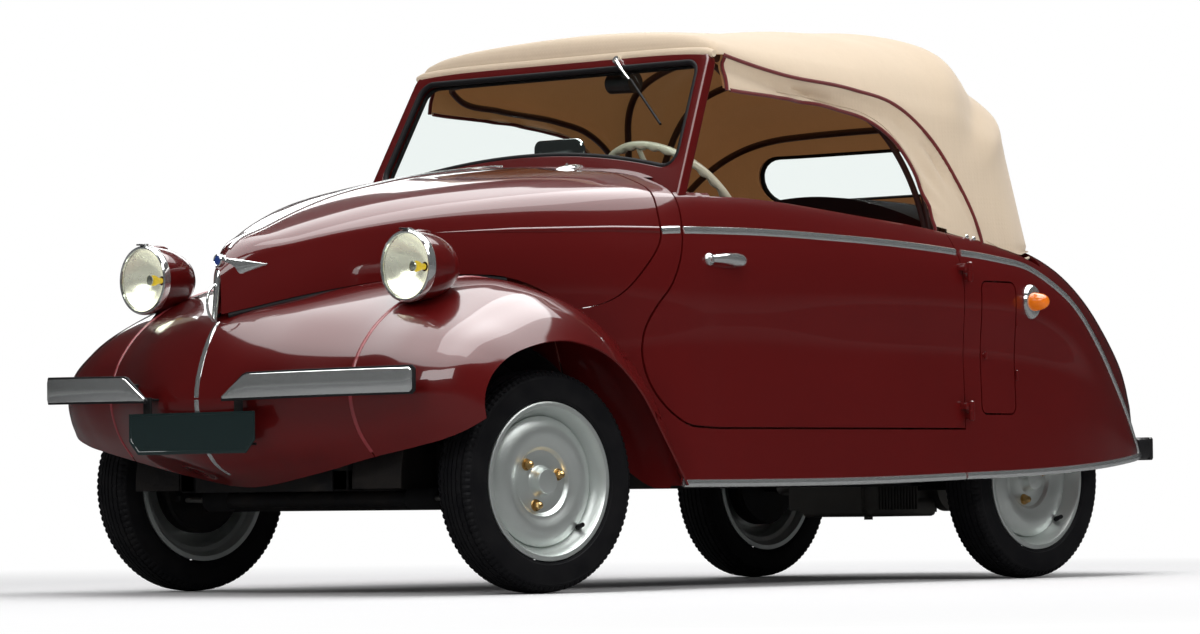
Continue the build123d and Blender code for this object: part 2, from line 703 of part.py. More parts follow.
plate_x = -520
plate_half = 210
plate_low = 322
plate_high = 416
with BuildPart() as plate:
    with BuildSketch(yz_plane(plate_x)):
        with BuildLine():
            Polyline(
                (-plate_half, plate_high), (plate_half, plate_high), (plate_half, plate_low + 30),
                (plate_half - 30, plate_low), (30 - plate_half, plate_low), (-plate_half, plate_low + 30),
                close=True,
            )
        make_face()
    extrude(amount=3)
for side, name in SIDES:
    strap = block(plate_x + 2, -420, side * 140, side * 165, plate_high - 16, plate_high - 4) - nose_outside
    plate_part = (plate.part if side < 0 else plate_part) + strap
save(plate_part, "number_plate")

rear_bar_deep = 60
rear_bar_low = 298
rear_bar_end = (2485, 365)
with BuildPart() as rear_bar:
    with BuildSketch(Plane.XY.offset(rear_bar_low)):
        with BuildLine():
            x, y = rear_bar_end
            ThreePointArc((x, -y), (tail_back - rear_bar_deep, 0), (x, y))
            Line((x, y), (x + rear_bar_deep, y))
            ThreePointArc((x + rear_bar_deep, y), (tail_back, 0), (x + rear_bar_deep, -y))
            Line((x + rear_bar_deep, -y), (x, -y))
        make_face()
    extrude(amount=60)
rear_bumper = rear_bar.part - outset
for side, name in SIDES:
    rear_bumper = rear_bumper + (block(2400, 2520, side * 255, side * 285, 330, 350) - outset)
save(rear_bumper, "bumper_rear")

# ---------------------------------------------------------------- cabin
seat_top = 520
seat_half = 470
save(block(1000, 1480, -seat_half, seat_half, floor_z + floor_thick + touch, seat_top), "seat_cushion")
with BuildPart() as back:
    with BuildSketch(xz_plane(-seat_half)):
        with BuildLine():
            low = seat_top + touch
            squab = [(1390, low), (1480, low), (1560, 800), (1545, 830), (1490, 840), (1460, 800)]
            Polyline(*squab, close=True)
        make_face()
    extrude(amount=-seat_half * 2)
save(back.part, "seat_back")

dash_rear_x = 700
dash_top = 962
dash = block(600, dash_rear_x, -far, far, 850, dash_top) & inside
save(dash - frame, "dashboard")

rim_radius = 190
rim_tube = 12
column_rise = 40  # degrees
wheel_centre = Vector(800, -270, 910)
column_dir = Vector(math.cos(math.radians(column_rise)), 0, math.sin(math.radians(column_rise)))
foot = wheel_centre - column_dir * 415
column_bore = 9 + running_fit
sleeve = rod(tuple(foot), tuple(wheel_centre - column_dir * 60), 18)
clamp = block(front_bulkhead_x + bulkhead, 520, -290, -250, 600, 690)
hollow = rod(tuple(foot - column_dir * 20), tuple(wheel_centre), column_bore)
save((sleeve + clamp) - hollow - dash, "steering_column")
wheel_plane = Plane(origin=tuple(wheel_centre), x_dir=(0, 1, 0), z_dir=tuple(column_dir))
with BuildPart() as steering:
    with Locations(wheel_plane):
        Torus(rim_radius, rim_tube)
steering_wheel = steering.part + rod(tuple(foot), tuple(wheel_centre), 9)
steering_wheel = steering_wheel + rod(
    tuple(wheel_centre - column_dir * 50), tuple(wheel_centre + column_dir * 12), 30
)
for angle in (90, 210, 330):
    turn = math.radians(angle)
    spoke = wheel_plane.x_dir * math.cos(turn) + wheel_plane.y_dir * math.sin(turn)
    tip = wheel_centre + spoke * rim_radius
    steering_wheel = steering_wheel + rod(tuple(wheel_centre), tuple(tip), 7)
save(steering_wheel, "steering_wheel")

mirror_x = dash_rear_x - 18
mirror_half = 82
mirror = rod((mirror_x, 0, dash_top), (mirror_x, 0, 1050), 6)
mirror = mirror + block(mirror_x - 12, mirror_x + 12, -mirror_half, mirror_half, 1030, 1082)
save(mirror, "mirror")

arm = rod((682, -200, 1262), (618, -391, 1107), 4)
arm = arm + rod((680, -200, 1262), (700, -200, 1253), 6)
save(arm - frame - outset, "wiper")
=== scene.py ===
"""Looks of a small soft-top car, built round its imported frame.

The file is laid out as an add-on: the sizes and colours are properties, each group of pieces is
an operator, and main() calls the operators in order. Points are written in millimetres from the
front axle (x back, y to the car's right, z up), and put() turns them into the frame's metres.
"""
import math

import bmesh
import bpy
import numpy as np
from mathutils import Matrix, Vector


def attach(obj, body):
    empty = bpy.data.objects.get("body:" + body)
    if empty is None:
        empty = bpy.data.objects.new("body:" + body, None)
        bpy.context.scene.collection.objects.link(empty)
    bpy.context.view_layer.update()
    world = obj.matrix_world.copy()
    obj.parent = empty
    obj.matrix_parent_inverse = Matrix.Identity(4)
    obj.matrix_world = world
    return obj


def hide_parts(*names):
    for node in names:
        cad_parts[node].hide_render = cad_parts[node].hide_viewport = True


bl_info = {
    "name": "Small Soft-top Car",
    "version": (1, 0, 0),
    "blender": (4, 5, 0),
    "location": "3D View > Sidebar > Small Car",
    "description": "Dresses the frame of a small soft-top car with body panels, trim, cloth and "
                   "running gear",
    "category": "Object",
}

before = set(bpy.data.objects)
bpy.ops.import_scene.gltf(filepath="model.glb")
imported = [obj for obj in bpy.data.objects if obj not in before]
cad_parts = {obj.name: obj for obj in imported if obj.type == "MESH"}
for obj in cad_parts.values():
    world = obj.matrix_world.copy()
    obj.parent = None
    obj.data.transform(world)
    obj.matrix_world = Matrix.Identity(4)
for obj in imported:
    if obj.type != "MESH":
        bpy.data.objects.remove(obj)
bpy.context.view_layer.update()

MIDDLE_X = 1033.0  # from the front axle to the frame's origin
WHEELBASE = 1894.0
SIDES = ((-1, "left"), (1, "right"))

# Hull sections: x, half width and z at the bottom, half width and z at the shoulder, crown z
HULL = [
    (-436, 14, 240, 12, 700, 745), (-400, 46, 240, 42, 738, 790), (-300, 122, 240, 118, 772, 837),
    (-100, 255, 240, 248, 806, 912), (120, 400, 240, 392, 826, 962), (320, 537, 240, 522, 832, 992),
    (450, 594, 240, 572, 833, 1006), (620, 602, 240, 578, 835, 1016),
    (1200, 602, 245, 578, 826, 962), (1500, 598, 253, 572, 812, 928),
    (1800, 585, 262, 563, 774, 884), (2000, 566, 272, 548, 693, 842),
    (2200, 522, 286, 509, 520, 780), (2380, 453, 302, 441, 348, 661),
    (2495, 335, 308, 326, 335, 520), (2550, 175, 312, 167, 326, 368),
]
# Nose and fender sections by y: points (x, z) from the chin round the front to the heel
PONTOON = [
    (0, (-335, 250), (-453, 313), (-498, 440), (-475, 545), (-434, 615), (-300, 664), (-150, 700),
     (0, 716), (120, 715), (145, 660), (160, 600)),
    (200, (-333, 275), (-430, 340), (-474, 442), (-440, 560), (-385, 622), (-260, 680), (-120, 712),
     (30, 714), (160, 700), (185, 650), (200, 600)),
    (400, (-328, 313), (-377, 371), (-402, 447), (-382, 528), (-344, 580), (-215, 668), (-20, 716),
     (120, 690), (225, 625), (270, 520), (300, 400)),
    (520, (-312, 335), (-357, 388), (-384, 450), (-362, 520), (-320, 575), (-192, 648), (-10, 696),
     (150, 650), (270, 565), (380, 410), (440, 240)),
    (600, (-300, 352), (-335, 400), (-352, 450), (-334, 512), (-290, 560), (-170, 620), (-5, 660),
     (160, 620), (280, 535), (390, 400), (460, 240)),
    (655, (-285, 372), (-303, 410), (-310, 452), (-293, 505), (-250, 545), (-140, 588), (0, 610),
     (150, 570), (262, 470), (345, 360), (410, 240)),
    (690, (-262, 395), (-266, 420), (-262, 450), (-240, 485), (-205, 513), (-110, 548), (0, 558),
     (128, 526), (230, 450), (305, 350), (386, 240)),
]
BONNET_LOWER = [(-470, 628), (-400, 650), (-300, 680), (-150, 712), (0, 728), (100, 722),
                (222, 648)]
BONNET_REAR = [(222, 648), (299, 667), (384, 750), (430, 820), (440, 880), (455, 940), (500, 1030)]
DOOR = [(1503, 376), (620, 376), (550, 378), (493, 384), (445, 412), (405, 458), (381, 520),
        (384, 599), (412, 655), (447, 700), (472, 750), (490, 800), (505, 850), (520, 960),
        (1503, 960)]
SEAM_Y = 400.0
WELL_RADIUS = 282  # of the space cut out for the rear wheels
CABIN_HALF = 538  # half the width cut out of the hull for the cabin
FAR = 900  # beyond the widest point, for cutters
LID = (1575, 1710, 413, 737, 18)  # x from, x to, z from, z to, corner radius
LID_PIN = (1718, -587)  # x, y
DOOR_PIN = (1507, 613)


# ---------------------------------------------------------------- shader maths
class Sock:
    """A node's output, on which sums and products add their own Math nodes."""

    def __init__(self, recipe, socket):
        self.recipe, self.socket = recipe, socket

    def _math(self, operation, *values):
        return self.recipe.node("ShaderNodeMath", {"operation": operation}, dict(enumerate(values)))

    def __add__(self, other):
        return self._math("ADD", self, other)

    def __sub__(self, other):
        return self._math("SUBTRACT", self, other)

    def __mul__(self, other):
        return self._math("MULTIPLY", self, other)

    __radd__, __rmul__ = __add__, __mul__

    def sine(self):
        return self._math("SINE", self)

    def clamped(self):
        return self._math("MAXIMUM", self._math("MINIMUM", self, 1), 0)


class Recipe:
    """One material or world under construction."""

    def __init__(self, owner, output="ShaderNodeOutputMaterial"):
        self.owner = bpy.data.materials.new(owner) if isinstance(owner, str) else owner
        self.owner.use_nodes = True
        self.tree = self.owner.node_tree
        self.tree.nodes.clear()
        self.output = self.tree.nodes.new(output)

    def node(self, kind, settings=None, values=None, out=0):
        made = self.tree.nodes.new(kind)
        for name, value in (settings or {}).items():
            if name == "stops":
                for index, (place, colour) in enumerate(value):
                    stops = made.color_ramp.elements
                    stop = stops[index] if index < len(stops) else stops.new(place)
                    stop.position, stop.color = place, (*colour, 1)
            else:
                setattr(made, name, value)
        for name, value in (values or {}).items():
            if isinstance(value, Sock):
                self.tree.links.new(value.socket, made.inputs[name])
            else:
                made.inputs[name].default_value = value
        return Sock(self, made.outputs[out])

    def place(self, scale=(1, 1, 1), turn=(0, 0, 0)):
        spot = self.node("ShaderNodeTexCoord", out="Object")
        return self.node("ShaderNodeMapping", None,
                         {"Vector": spot, "Scale": scale, "Rotation": turn})

    def axis(self, name):
        spot = self.node("ShaderNodeTexCoord", out="Object")
        return self.node("ShaderNodeSeparateXYZ", None, {"Vector": spot}, name)

    def noise(self, scale, detail=3, stretch=(1, 1, 1)):
        return self.node("ShaderNodeTexNoise", None,
                         {"Vector": self.place(stretch), "Scale": scale, "Detail": detail})

    def between(self, factor, low, high):
        return self.node("ShaderNodeMix", {"data_type": "RGBA"},
                         {0: factor, 6: (*low, 1), 7: (*high, 1)}, 2)

    def mixed(self, share, first, second):
        return self.node("ShaderNodeMixShader", None, {0: share, 1: first, 2: second})

    def ray(self, kind):
        return self.node("ShaderNodeLightPath", out=f"Is {kind} Ray")

    def bumped(self, height, distance):
        return self.node("ShaderNodeBump", None, {"Height": height, "Distance": distance})

    def finish(self, **values):
        named = {name.replace("_", " "): value for name, value in values.items()}
        for name in ("Base Color", "Emission Color"):
            if name in named and not isinstance(named[name], Sock):
                named[name] = (*named[name], 1)
        return self.shown(self.node("ShaderNodeBsdfPrincipled", None, named))

    def shown(self, shader):
        self.tree.links.new(shader.socket, self.output.inputs["Surface"])
        return self.owner


FINISHES = {}


def make_finishes(colours):
    """Every material of the car, by the name of the thing that it finishes."""

    def paint(name, tone, dust=0.0):
        r = Recipe(name)
        cloud = r.noise(3.0, 2)
        flake = r.noise(900.0, 1)
        dark = [c * 0.86 for c in tone]
        peel = r.noise(160.0, 1)
        return r.finish(Base_Color=r.between(cloud, dark, tone),
                        Roughness=0.26 + flake * 0.1 + dust, Normal=r.bumped(peel, 0.00006),
                        Coat_Weight=1.0, Coat_Roughness=0.025, Specular_IOR_Level=0.12)

    def metal(name, tone, rough, grain=0.03, scale=35.0, bump=0.00004, share=1.0):
        r = Recipe(name)
        smear = r.noise(scale, 4)
        dull = [c * 0.9 for c in tone]
        return r.finish(Base_Color=r.between(smear, dull, tone), Metallic=share,
                        Roughness=rough + smear * grain, Normal=r.bumped(r.noise(220.0, 2), bump))

    def aluminium_paint(name, tone):
        r = Recipe(name)
        cloud = r.noise(22.0, 4)
        flake = r.noise(1400.0, 1)
        return r.finish(Base_Color=r.between(cloud, [c * 0.9 for c in tone], tone), Metallic=0.84,
                        Roughness=0.33 + flake * 0.12, Normal=r.bumped(r.noise(260.0, 2), 0.00004),
                        Coat_Weight=0.35, Coat_Roughness=0.12)

    def lamp_mirror(name, tone, painted_glow):
        # The reflector glows in its own colour though the lamp is not lit: painted light.
        r = Recipe(name)
        return r.finish(Base_Color=tone, Metallic=1.0, Roughness=0.22 + r.noise(40.0, 3) * 0.1,
                        Emission_Color=tone, Emission_Strength=painted_glow)

    def black_iron(name, tone):
        r = Recipe(name)
        grime = r.noise(26.0, 5)
        dirt = (grime * 2.4 - 0.9).clamped()
        return r.finish(Base_Color=r.between(dirt, tone, (0.016, 0.013, 0.011)),
                        Roughness=0.5 + dirt * 0.35, Normal=r.bumped(r.noise(140.0, 4), 0.0006),
                        Specular_IOR_Level=0.2)

    def rubber(name, tone, dusty=0.3):
        r = Recipe(name)
        dust = (r.noise(19.0, 5) * 1.7 - 0.6).clamped() * dusty
        return r.finish(Base_Color=r.between(dust, tone, (0.07, 0.065, 0.06)),
                        Roughness=0.5 + dust * 0.25, Normal=r.bumped(r.noise(420.0, 3), 0.00012),
                        Specular_IOR_Level=0.08)

    def cloth(name, tone, shade, fine, thread=560.0, painted_glow=0.0):
        r = Recipe(name)
        warp = (r.axis("X") * thread).sine()
        weft = (r.axis("Z") * thread).sine()
        across = (r.axis("Y") * thread).sine()
        weave = warp * weft + weft * across + across * warp
        cloud = r.noise(4.5, 5)
        slub = r.noise(60.0, 3, (1, 1, 0.12))
        stain = (cloud * 0.75 + slub * 0.35 - 0.05).clamped()
        # A glow above zero makes the cloth shine in its own colour: painted light.
        return r.finish(Base_Color=r.between(stain, shade, tone), Roughness=0.88 + stain * 0.08,
                        Normal=r.bumped(weave * 0.12 + slub + r.noise(14.0, 4) * 2.0, fine),
                        Sheen_Weight=0.25, Sheen_Roughness=0.5, Emission_Color=tone,
                        Emission_Strength=painted_glow)

    def hide(name, tone):
        r = Recipe(name)
        pores = r.node("ShaderNodeTexVoronoi", None, {"Vector": r.place(), "Scale": 330.0})
        wear = (r.noise(7.0, 4) * 1.6 - 0.4).clamped()
        worn = [min(1.0, c * 1.35) for c in tone]
        return r.finish(Base_Color=r.between(wear, tone, worn), Roughness=0.42 + wear * 0.2,
                        Normal=r.bumped(pores, 0.0004), Coat_Weight=0.1, Coat_Roughness=0.35)

    def clear(name, tint, ripple=0.0):
        r = Recipe(name)
        through = r.node("ShaderNodeBsdfTransparent", None, {"Color": (*tint, 1)})
        bump = r.bumped(r.noise(8.0, 1), 0.0002 + ripple)
        shine = r.node("ShaderNodeBsdfPrincipled", None,
                       {"Base Color": (0.9, 0.95, 0.93, 1), "Roughness": 0.02, "Metallic": 1.0,
                        "Normal": bump})
        rim = r.node("ShaderNodeFresnel", None, {"IOR": 1.45})
        inner = r.node("ShaderNodeNewGeometry", out="Backfacing")
        return r.shown(r.mixed(rim * 0.35 * (inner * -1 + 1), through, shine))

    def plastic(name, tone, rough=0.3, painted_glow=0.0):
        r = Recipe(name)
        tint = r.between(r.noise(12.0, 3), [c * 0.85 for c in tone], tone)
        # A glow above zero makes the plastic shine in its own colour: painted light.
        return r.finish(Base_Color=tint, Roughness=rough + r.noise(50.0, 2) * 0.08, Coat_Weight=0.4,
                        Coat_Roughness=0.06, Emission_Color=tone, Emission_Strength=painted_glow,
                        Normal=r.bumped(r.noise(300.0, 2), 0.00005))

    FINISHES.update(
        paint=paint("body_enamel", colours.paint[:]),
        # The body paint at a fifth of its brightness, for the deck, the dashboard and the glove lid
        # in the cabin: painted shade.
        dark_paint=paint("cabin_enamel_painted_shade", [c * 0.2 for c in colours.paint[:]], 0.15),
        silver=aluminium_paint("wheel_silver", (0.80, 0.85, 0.82)),
        plate=paint("plate_enamel", (0.010, 0.022, 0.022), 0.1),
        chrome=metal("bright_chrome", (0.90, 0.93, 0.92), 0.08, 0.02, bump=0.000008, share=0.87),
        bright_back=metal("mirror_back", (0.86, 0.89, 0.90), 0.05),
        brass=metal("lacquered_brass", (0.78, 0.52, 0.22), 0.22, 0.12),
        steel=metal("worn_steel", (0.42, 0.41, 0.39), 0.38, 0.25),
        alloy=metal("cast_alloy", (0.33, 0.32, 0.30), 0.5, 0.25, 20.0, 0.0004),
        # The lamp reflector, also used on the mirror's face, glows though no lamp is lit: painted
        # light.
        reflector=lamp_mirror("lamp_reflector", (0.93, 0.92, 0.84), 0.32),
        iron=black_iron("black_iron", (0.006, 0.006, 0.007)),
        underseal=black_iron("underseal", (0.008, 0.007, 0.007)),
        rubber=rubber("tyre_rubber", (0.006, 0.006, 0.007), 0.10),
        trim_rubber=rubber("trim_rubber", (0.012, 0.012, 0.013), 0.1),
        canvas=cloth("hood_canvas", colours.canvas[:], [c * 0.86 for c in colours.canvas[:]],
                     0.0005),
        # The lining glows in its own colour: painted light for the light that comes through the
        # canvas.
        lining=cloth("hood_lining", colours.lining[:], [c * 0.72 for c in colours.lining[:]],
                     0.0004, painted_glow=0.22),
        # The piping is the body paint made half again as bright, a lighter copy of the paint:
        # painted highlight.
        piping=cloth("seam_piping_painted_highlight", [c * 1.5 for c in colours.paint[:]],
                     [c * 1.0 for c in colours.paint[:]],
                     0.0003),
        carpet=cloth("floor_carpet", (0.040, 0.014, 0.012), (0.02, 0.008, 0.007), 0.0012, 900.0),
        hide=hide("seat_hide", colours.seats[:]),
        glass=clear("window_glass", (0.93, 0.96, 0.95)),
        lens=clear("lamp_glass", (0.96, 0.97, 0.93), 0.001),
        ivory=plastic("ivory_plastic", (0.72, 0.66, 0.50), 0.28),
        # The indicator lens and the bulb glow though no lamp is lit: painted light.
        orange=plastic("orange_lens", (0.75, 0.17, 0.01), 0.15, 0.15),
        amber=plastic("amber_bulb", (0.80, 0.55, 0.03), 0.1, 0.25),
        black=plastic("black_plastic", (0.012, 0.012, 0.013), 0.35),
        # The fender bead is a red lighter than the body paint, standing in for its highlight:
        # painted highlight.
        welt=plastic("fender_bead_painted_highlight", (0.24, 0.022, 0.028), 0.4),
        bow_enamel=plastic("bow_enamel", (0.045, 0.012, 0.010), 0.4),
        badge=plastic("blue_badge", (0.02, 0.05, 0.22), 0.2),
    )


# ---------------------------------------------------------------- geometry
def put(points):
    """Millimetres from the front axle to the frame's metres."""
    array = np.atleast_2d(np.asarray(points, float)).copy()
    array[:, 0] -= MIDDLE_X
    return array / 1000.0


FRONT_AXLE = Vector(put((0, 0, 0))[0])


def inner_slopes(slope, span):
    """Slopes at the inner knots, from the spans on their two sides along the first axis."""
    return (slope[:-1] * span[1:] + slope[1:] * span[:-1]) / (span[1:] + span[:-1])


def hermite(t, reach, start, end, start_slope, end_slope):
    """The smooth step between two points with given slopes, read at t from 0 to 1."""
    return ((2 * t**3 - 3 * t**2 + 1) * start + (t**3 - 2 * t**2 + t) * reach * start_slope
            + (3 * t**2 - 2 * t**3) * end + (t**3 - t**2) * reach * end_slope)


def through(knots, points, at):
    """Smooth curve through points (n, d) at the growing knots (n,), read at the values `at`."""
    knots, points, at = np.asarray(knots, float), np.asarray(points, float), np.asarray(at, float)
    span = np.diff(knots)
    slope = np.diff(points, axis=0) / span[:, None]
    inner = inner_slopes(slope, span[:, None])
    if len(inner):
        tangent = np.vstack([2 * slope[:1] - inner[:1], inner, 2 * slope[-1:] - inner[-1:]])
    else:
        tangent = np.vstack([slope, slope])
    index = np.clip(np.searchsorted(knots, at, side="right") - 1, 0, len(span) - 1)
    h = span[index][:, None]
    t = ((at - knots[index]) / span[index])[:, None]
    return hermite(t, h, points[index], points[index + 1], tangent[index], tangent[index + 1])


def chord_knots(points):
    steps = np.linalg.norm(np.diff(np.asarray(points, float), axis=0), axis=1)
    return np.concatenate([[0], np.cumsum(steps)])


def smooth_line(points, count):
    """Points spread along a smooth line through the given ones."""
    knots = chord_knots(points)
    return through(knots, points, np.linspace(0, knots[-1], count))


def grid(nu, nv, place, wrap=False):
    """A grid of faces whose vertex at (u, v), both from 0 to 1, goes to place(u, v)."""
    bm = bmesh.new()
    bmesh.ops.create_grid(bm, x_segments=nu, y_segments=nv, size=0.5)
    bm.verts.ensure_lookup_table()
    flat = np.array([v.co[:] for v in bm.verts]) + 0.5
    for vert, co in zip(bm.verts, place(flat[:, 0], flat[:, 1])):
        vert.co = co
    if wrap:
        bmesh.ops.remove_doubles(bm, verts=bm.verts, dist=1e-6)
    return bm


def joined(*parts):
    """Several meshes as one."""
    whole = bmesh.new()
    for part in parts:
        mesh = bpy.data.meshes.new("part")
        part.to_mesh(mesh)
        whole.from_mesh(mesh)
        bpy.data.meshes.remove(mesh)
        part.free()
    return whole


def solid(bm):
    """Closes open ends and turns the faces outwards."""
    bmesh.ops.remove_doubles(bm, verts=bm.verts, dist=2e-5)
    edges = [e for e in bm.edges if e.is_boundary]
    if edges:
        bmesh.ops.holes_fill(bm, edges=edges)
    return outwards(bm)


def outwards(bm):
    bmesh.ops.recalc_face_normals(bm, faces=bm.faces)
    return bm


def pushed(bm, faces, move):
    """Extrudes faces by a move in metres and closes the form."""
    made = bmesh.ops.extrude_face_region(bm, geom=faces)["geom"]
    moved = [v for v in made if isinstance(v, bmesh.types.BMVert)]
    bmesh.ops.translate(bm, verts=moved, vec=move)
    return outwards(bm)


def slab(corners, move):
    """A face through corners in metres, pushed out to a block."""
    bm = bmesh.new()
    face = bm.faces.new([bm.verts.new(co) for co in corners])
    return pushed(bm, [face], move)


def prism(outline, y_from, y_to):
    """Straight-sided block with an outline in x and z, between two y values, all in millimetres."""
    return slab(put([(x, y_from, z) for x, z in outline]), (0, (y_to - y_from) / 1000, 0))


def walled(bm, thick, look=None, index=0):
    """Gives an open sheet a wall in millimetres, after turning the face at index towards `look`."""
    outwards(bm)
    if look and bm.faces[:][index].normal.dot(Vector(look)) < 0:
        bmesh.ops.reverse_faces(bm, faces=bm.faces)
    bmesh.ops.solidify(bm, geom=bm.faces, thickness=thick / 1000)
    return outwards(bm)


def rounded(bm, edges, radius, segments):
    """Rounds edges off, with a radius in millimetres."""
    bmesh.ops.bevel(bm, geom=edges, offset=radius / 1000, segments=segments, profile=0.5,
                    affect="EDGES", material=-1)


def box(low, high, edge=0.0, segments=2):
    """Box between two corners in millimetres, with rounded edges."""
    ends = put([low, high])
    low, high = ends.min(axis=0), ends.max(axis=0)
    bm = bmesh.new()
    bmesh.ops.create_cube(bm, size=1.0)
    for vert in bm.verts:
        vert.co = [low[i] + (vert.co[i] + 0.5) * (high[i] - low[i]) for i in range(3)]
    outwards(bm)
    if edge:
        rounded(bm, list(bm.edges), edge, segments)
    return bm


def bar(start, end, radius, end_radius=None, segments=20):
    """Round bar between two points in millimetres."""
    a, b = Vector(put(start)[0]), Vector(put(end)[0])
    along = b - a
    turn = along.to_track_quat("Z", "Y").to_matrix().to_4x4()
    bm = bmesh.new()
    bmesh.ops.create_cone(bm, cap_ends=True, segments=segments, radius1=radius / 1000,
                          radius2=(radius if end_radius is None else end_radius) / 1000,
                          depth=along.length, matrix=Matrix.Translation((a + b) / 2) @ turn)
    return bm


def turned(profile, steps, at=(0, 0, 0), axis="Y", facing=1):
    """A form turned about an axis through `at`; the profile is (radius, along) in millimetres."""
    bm = bmesh.new()
    verts = [bm.verts.new((r / 1000, a / 1000, 0)) for r, a in profile]
    edges = [bm.edges.new(pair) for pair in zip(verts, verts[1:])]
    bmesh.ops.spin(bm, geom=verts + edges, cent=(0, 0, 0), axis=(0, 1, 0), steps=steps,
                   angle=2 * math.pi, use_merge=True)
    bmesh.ops.remove_doubles(bm, verts=bm.verts, dist=1e-6)
    if facing < 0:
        bmesh.ops.rotate(bm, verts=bm.verts, matrix=Matrix.Rotation(math.pi, 3, "Z"))
    if axis == "X":
        bmesh.ops.rotate(bm, verts=bm.verts, matrix=Matrix.Rotation(-math.pi / 2, 3, "Z"))
    bmesh.ops.translate(bm, verts=bm.verts, vec=put(at)[0])
    return outwards(bm)


def swept(points, radius, count=0, sides=10, closed=False, flat=1.0, taper=None):
    """Tube along a smooth line through points in millimetres, its height `flat` times its width."""
    line = put(smooth_line(points, count) if count else points)
    steps = len(line)
    along = np.gradient(line, axis=0)
    along /= np.linalg.norm(along, axis=1)[:, None]
    guide = np.array([0, 0, 1.0]) if abs(along[:, 2]).mean() < 0.9 else np.array([1.0, 0, 0])
    side = np.cross(along, guide)
    side /= np.linalg.norm(side, axis=1)[:, None]
    up = np.cross(side, along)
    sizes = (np.ones(steps) if taper is None else np.interp(np.linspace(0, 1, steps),
                                                            *taper)) * radius / 1000

    def place(u, v):
        index = np.clip(np.rint(u * (steps - 1)).astype(int), 0, steps - 1)
        angle = v * 2 * np.pi
        size = sizes[index][:, None]
        return line[index] + size * (side[index] * np.cos(angle)[:, None] + flat * up[index]
                                     * np.sin(angle)[:, None])

    bm = grid(steps - 1, sides, place, wrap=True)
    return bm if closed else solid(bm)


def to_object(name, bm):
    mesh = bpy.data.meshes.new(name)
    bm.to_mesh(mesh)
    bm.free()
    obj = bpy.data.objects.new(name, mesh)
    bpy.context.scene.collection.objects.link(obj)
    return obj


def evaluated_mesh(obj):
    graph = bpy.context.evaluated_depsgraph_get()
    return bpy.data.meshes.new_from_object(obj.evaluated_get(graph))


def carved(bm, *cutters, keep="DIFFERENCE"):
    """The mesh with cutters taken away, or with only what lies in them kept."""
    for cutter in cutters:
        body, tool = to_object("carved", bm), to_object("cutter", cutter)
        step = body.modifiers.new("cut", "BOOLEAN")
        step.operation, step.object, step.solver = keep, tool, "MANIFOLD"
        mesh = evaluated_mesh(body)
        bm = bmesh.new()
        bm.from_mesh(mesh)
        for obj in (body, tool):
            old = obj.data
            bpy.data.objects.remove(obj)
            bpy.data.meshes.remove(old)
        bpy.data.meshes.remove(mesh)
    return bm


def piece(name, bm, finish, body="car", replaces=(), crease=35.0):
    """A finished piece: smooth faces, sharp folds, its finish, and the body that it rides on."""
    for face in bm.faces:
        face.smooth = True
    limit = math.radians(crease)
    for edge in bm.edges:
        edge.smooth = not (edge.is_manifold and edge.calc_face_angle(0) > limit)
    obj = to_object(name, bm)
    for key in (finish if isinstance(finish, (list, tuple)) else [finish]):
        obj.data.materials.append(FINISHES[key])
    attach(obj, body)
    if replaces:
        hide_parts(*replaces)
    return obj


def refinish(name, finish):
    """A frame node that stays gets one of the finishes."""
    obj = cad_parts[name]
    obj.data.materials.clear()
    obj.data.materials.append(FINISHES[finish])


# ---------------------------------------------------------------- the body's surfaces
def softened(values, width):
    """Evens out a column along x, keeping its ends."""
    kernel = np.exp(-0.5 * np.linspace(-2, 2, width * 2 + 1) ** 2)
    kernel /= kernel.sum()
    padded = np.concatenate([2 * values[0] - values[width:0:-1], values,
                             2 * values[-1] - values[-2:-width - 2:-1]])
    return np.convolve(padded, kernel, "valid")


HULL_X = np.linspace(HULL[0][0], HULL[-1][0], 500)
HULL_COLUMNS = through(
    [row[0] for row in HULL], [row[1:] for row in HULL], HULL_X
)
HULL_COLUMNS = np.stack([softened(HULL_COLUMNS[:, k], 7) for k in range(5)], axis=1)
KNEE_SPAN, KNEE_DROP, BULGE = 0.76, 0.27, 0.175


def hull_columns(x):
    return [np.interp(x, HULL_X, HULL_COLUMNS[:, k]) for k in range(5)]


def hull_point(x, s, inset=0.0):
    """Points of the hull at x; s runs from 0 at the left foot to 1 at the right foot."""
    foot, low, half, side, crown = hull_columns(x)
    foot, half = np.maximum(foot - inset, 3), np.maximum(half - inset, 2)
    side, crown = side - inset / 2, crown - inset
    knee_y, knee_z = half * KNEE_SPAN, crown - (crown - side) * KNEE_DROP
    ys = np.stack([foot, (foot + half) / 2 + 5, half, (half + knee_y) / 2 + (half - knee_y) * BULGE,
                   knee_y, knee_y * 0.52, knee_y * 0])
    zs = np.stack([low, (low + side) / 2, side, (side + knee_z) / 2 + (knee_z - side) * BULGE,
                   knee_z, knee_z + (crown - knee_z) * 0.735, crown])
    knots = np.array([0, 0.25, 0.5, 0.62, 0.74, 0.86, 1.0])
    mirrored = np.concatenate([knots, 2 - knots[-2::-1]])
    ys, zs = np.concatenate([-ys, ys[-2::-1]]), np.concatenate([zs, zs[-2::-1]])
    want = s * 2
    index = np.clip(np.searchsorted(mirrored, want, side="right") - 1, 0, len(mirrored) - 2)
    rows = np.arange(len(want))

    def read(values):
        chord = np.sqrt(np.diff(ys, axis=0) ** 2 + np.diff(zs, axis=0) ** 2) + 1e-6
        slope = np.diff(values, axis=0) / chord
        tangent = np.concatenate([slope[:1], inner_slopes(slope, chord), slope[-1:]])
        t = (want - mirrored[index]) / (mirrored[index + 1] - mirrored[index])
        h = chord[index, rows]
        return hermite(t, h, values[index, rows], values[index + 1, rows],
                       tangent[index, rows], tangent[index + 1, rows])

    return np.stack([x, read(ys), read(zs)], axis=1)


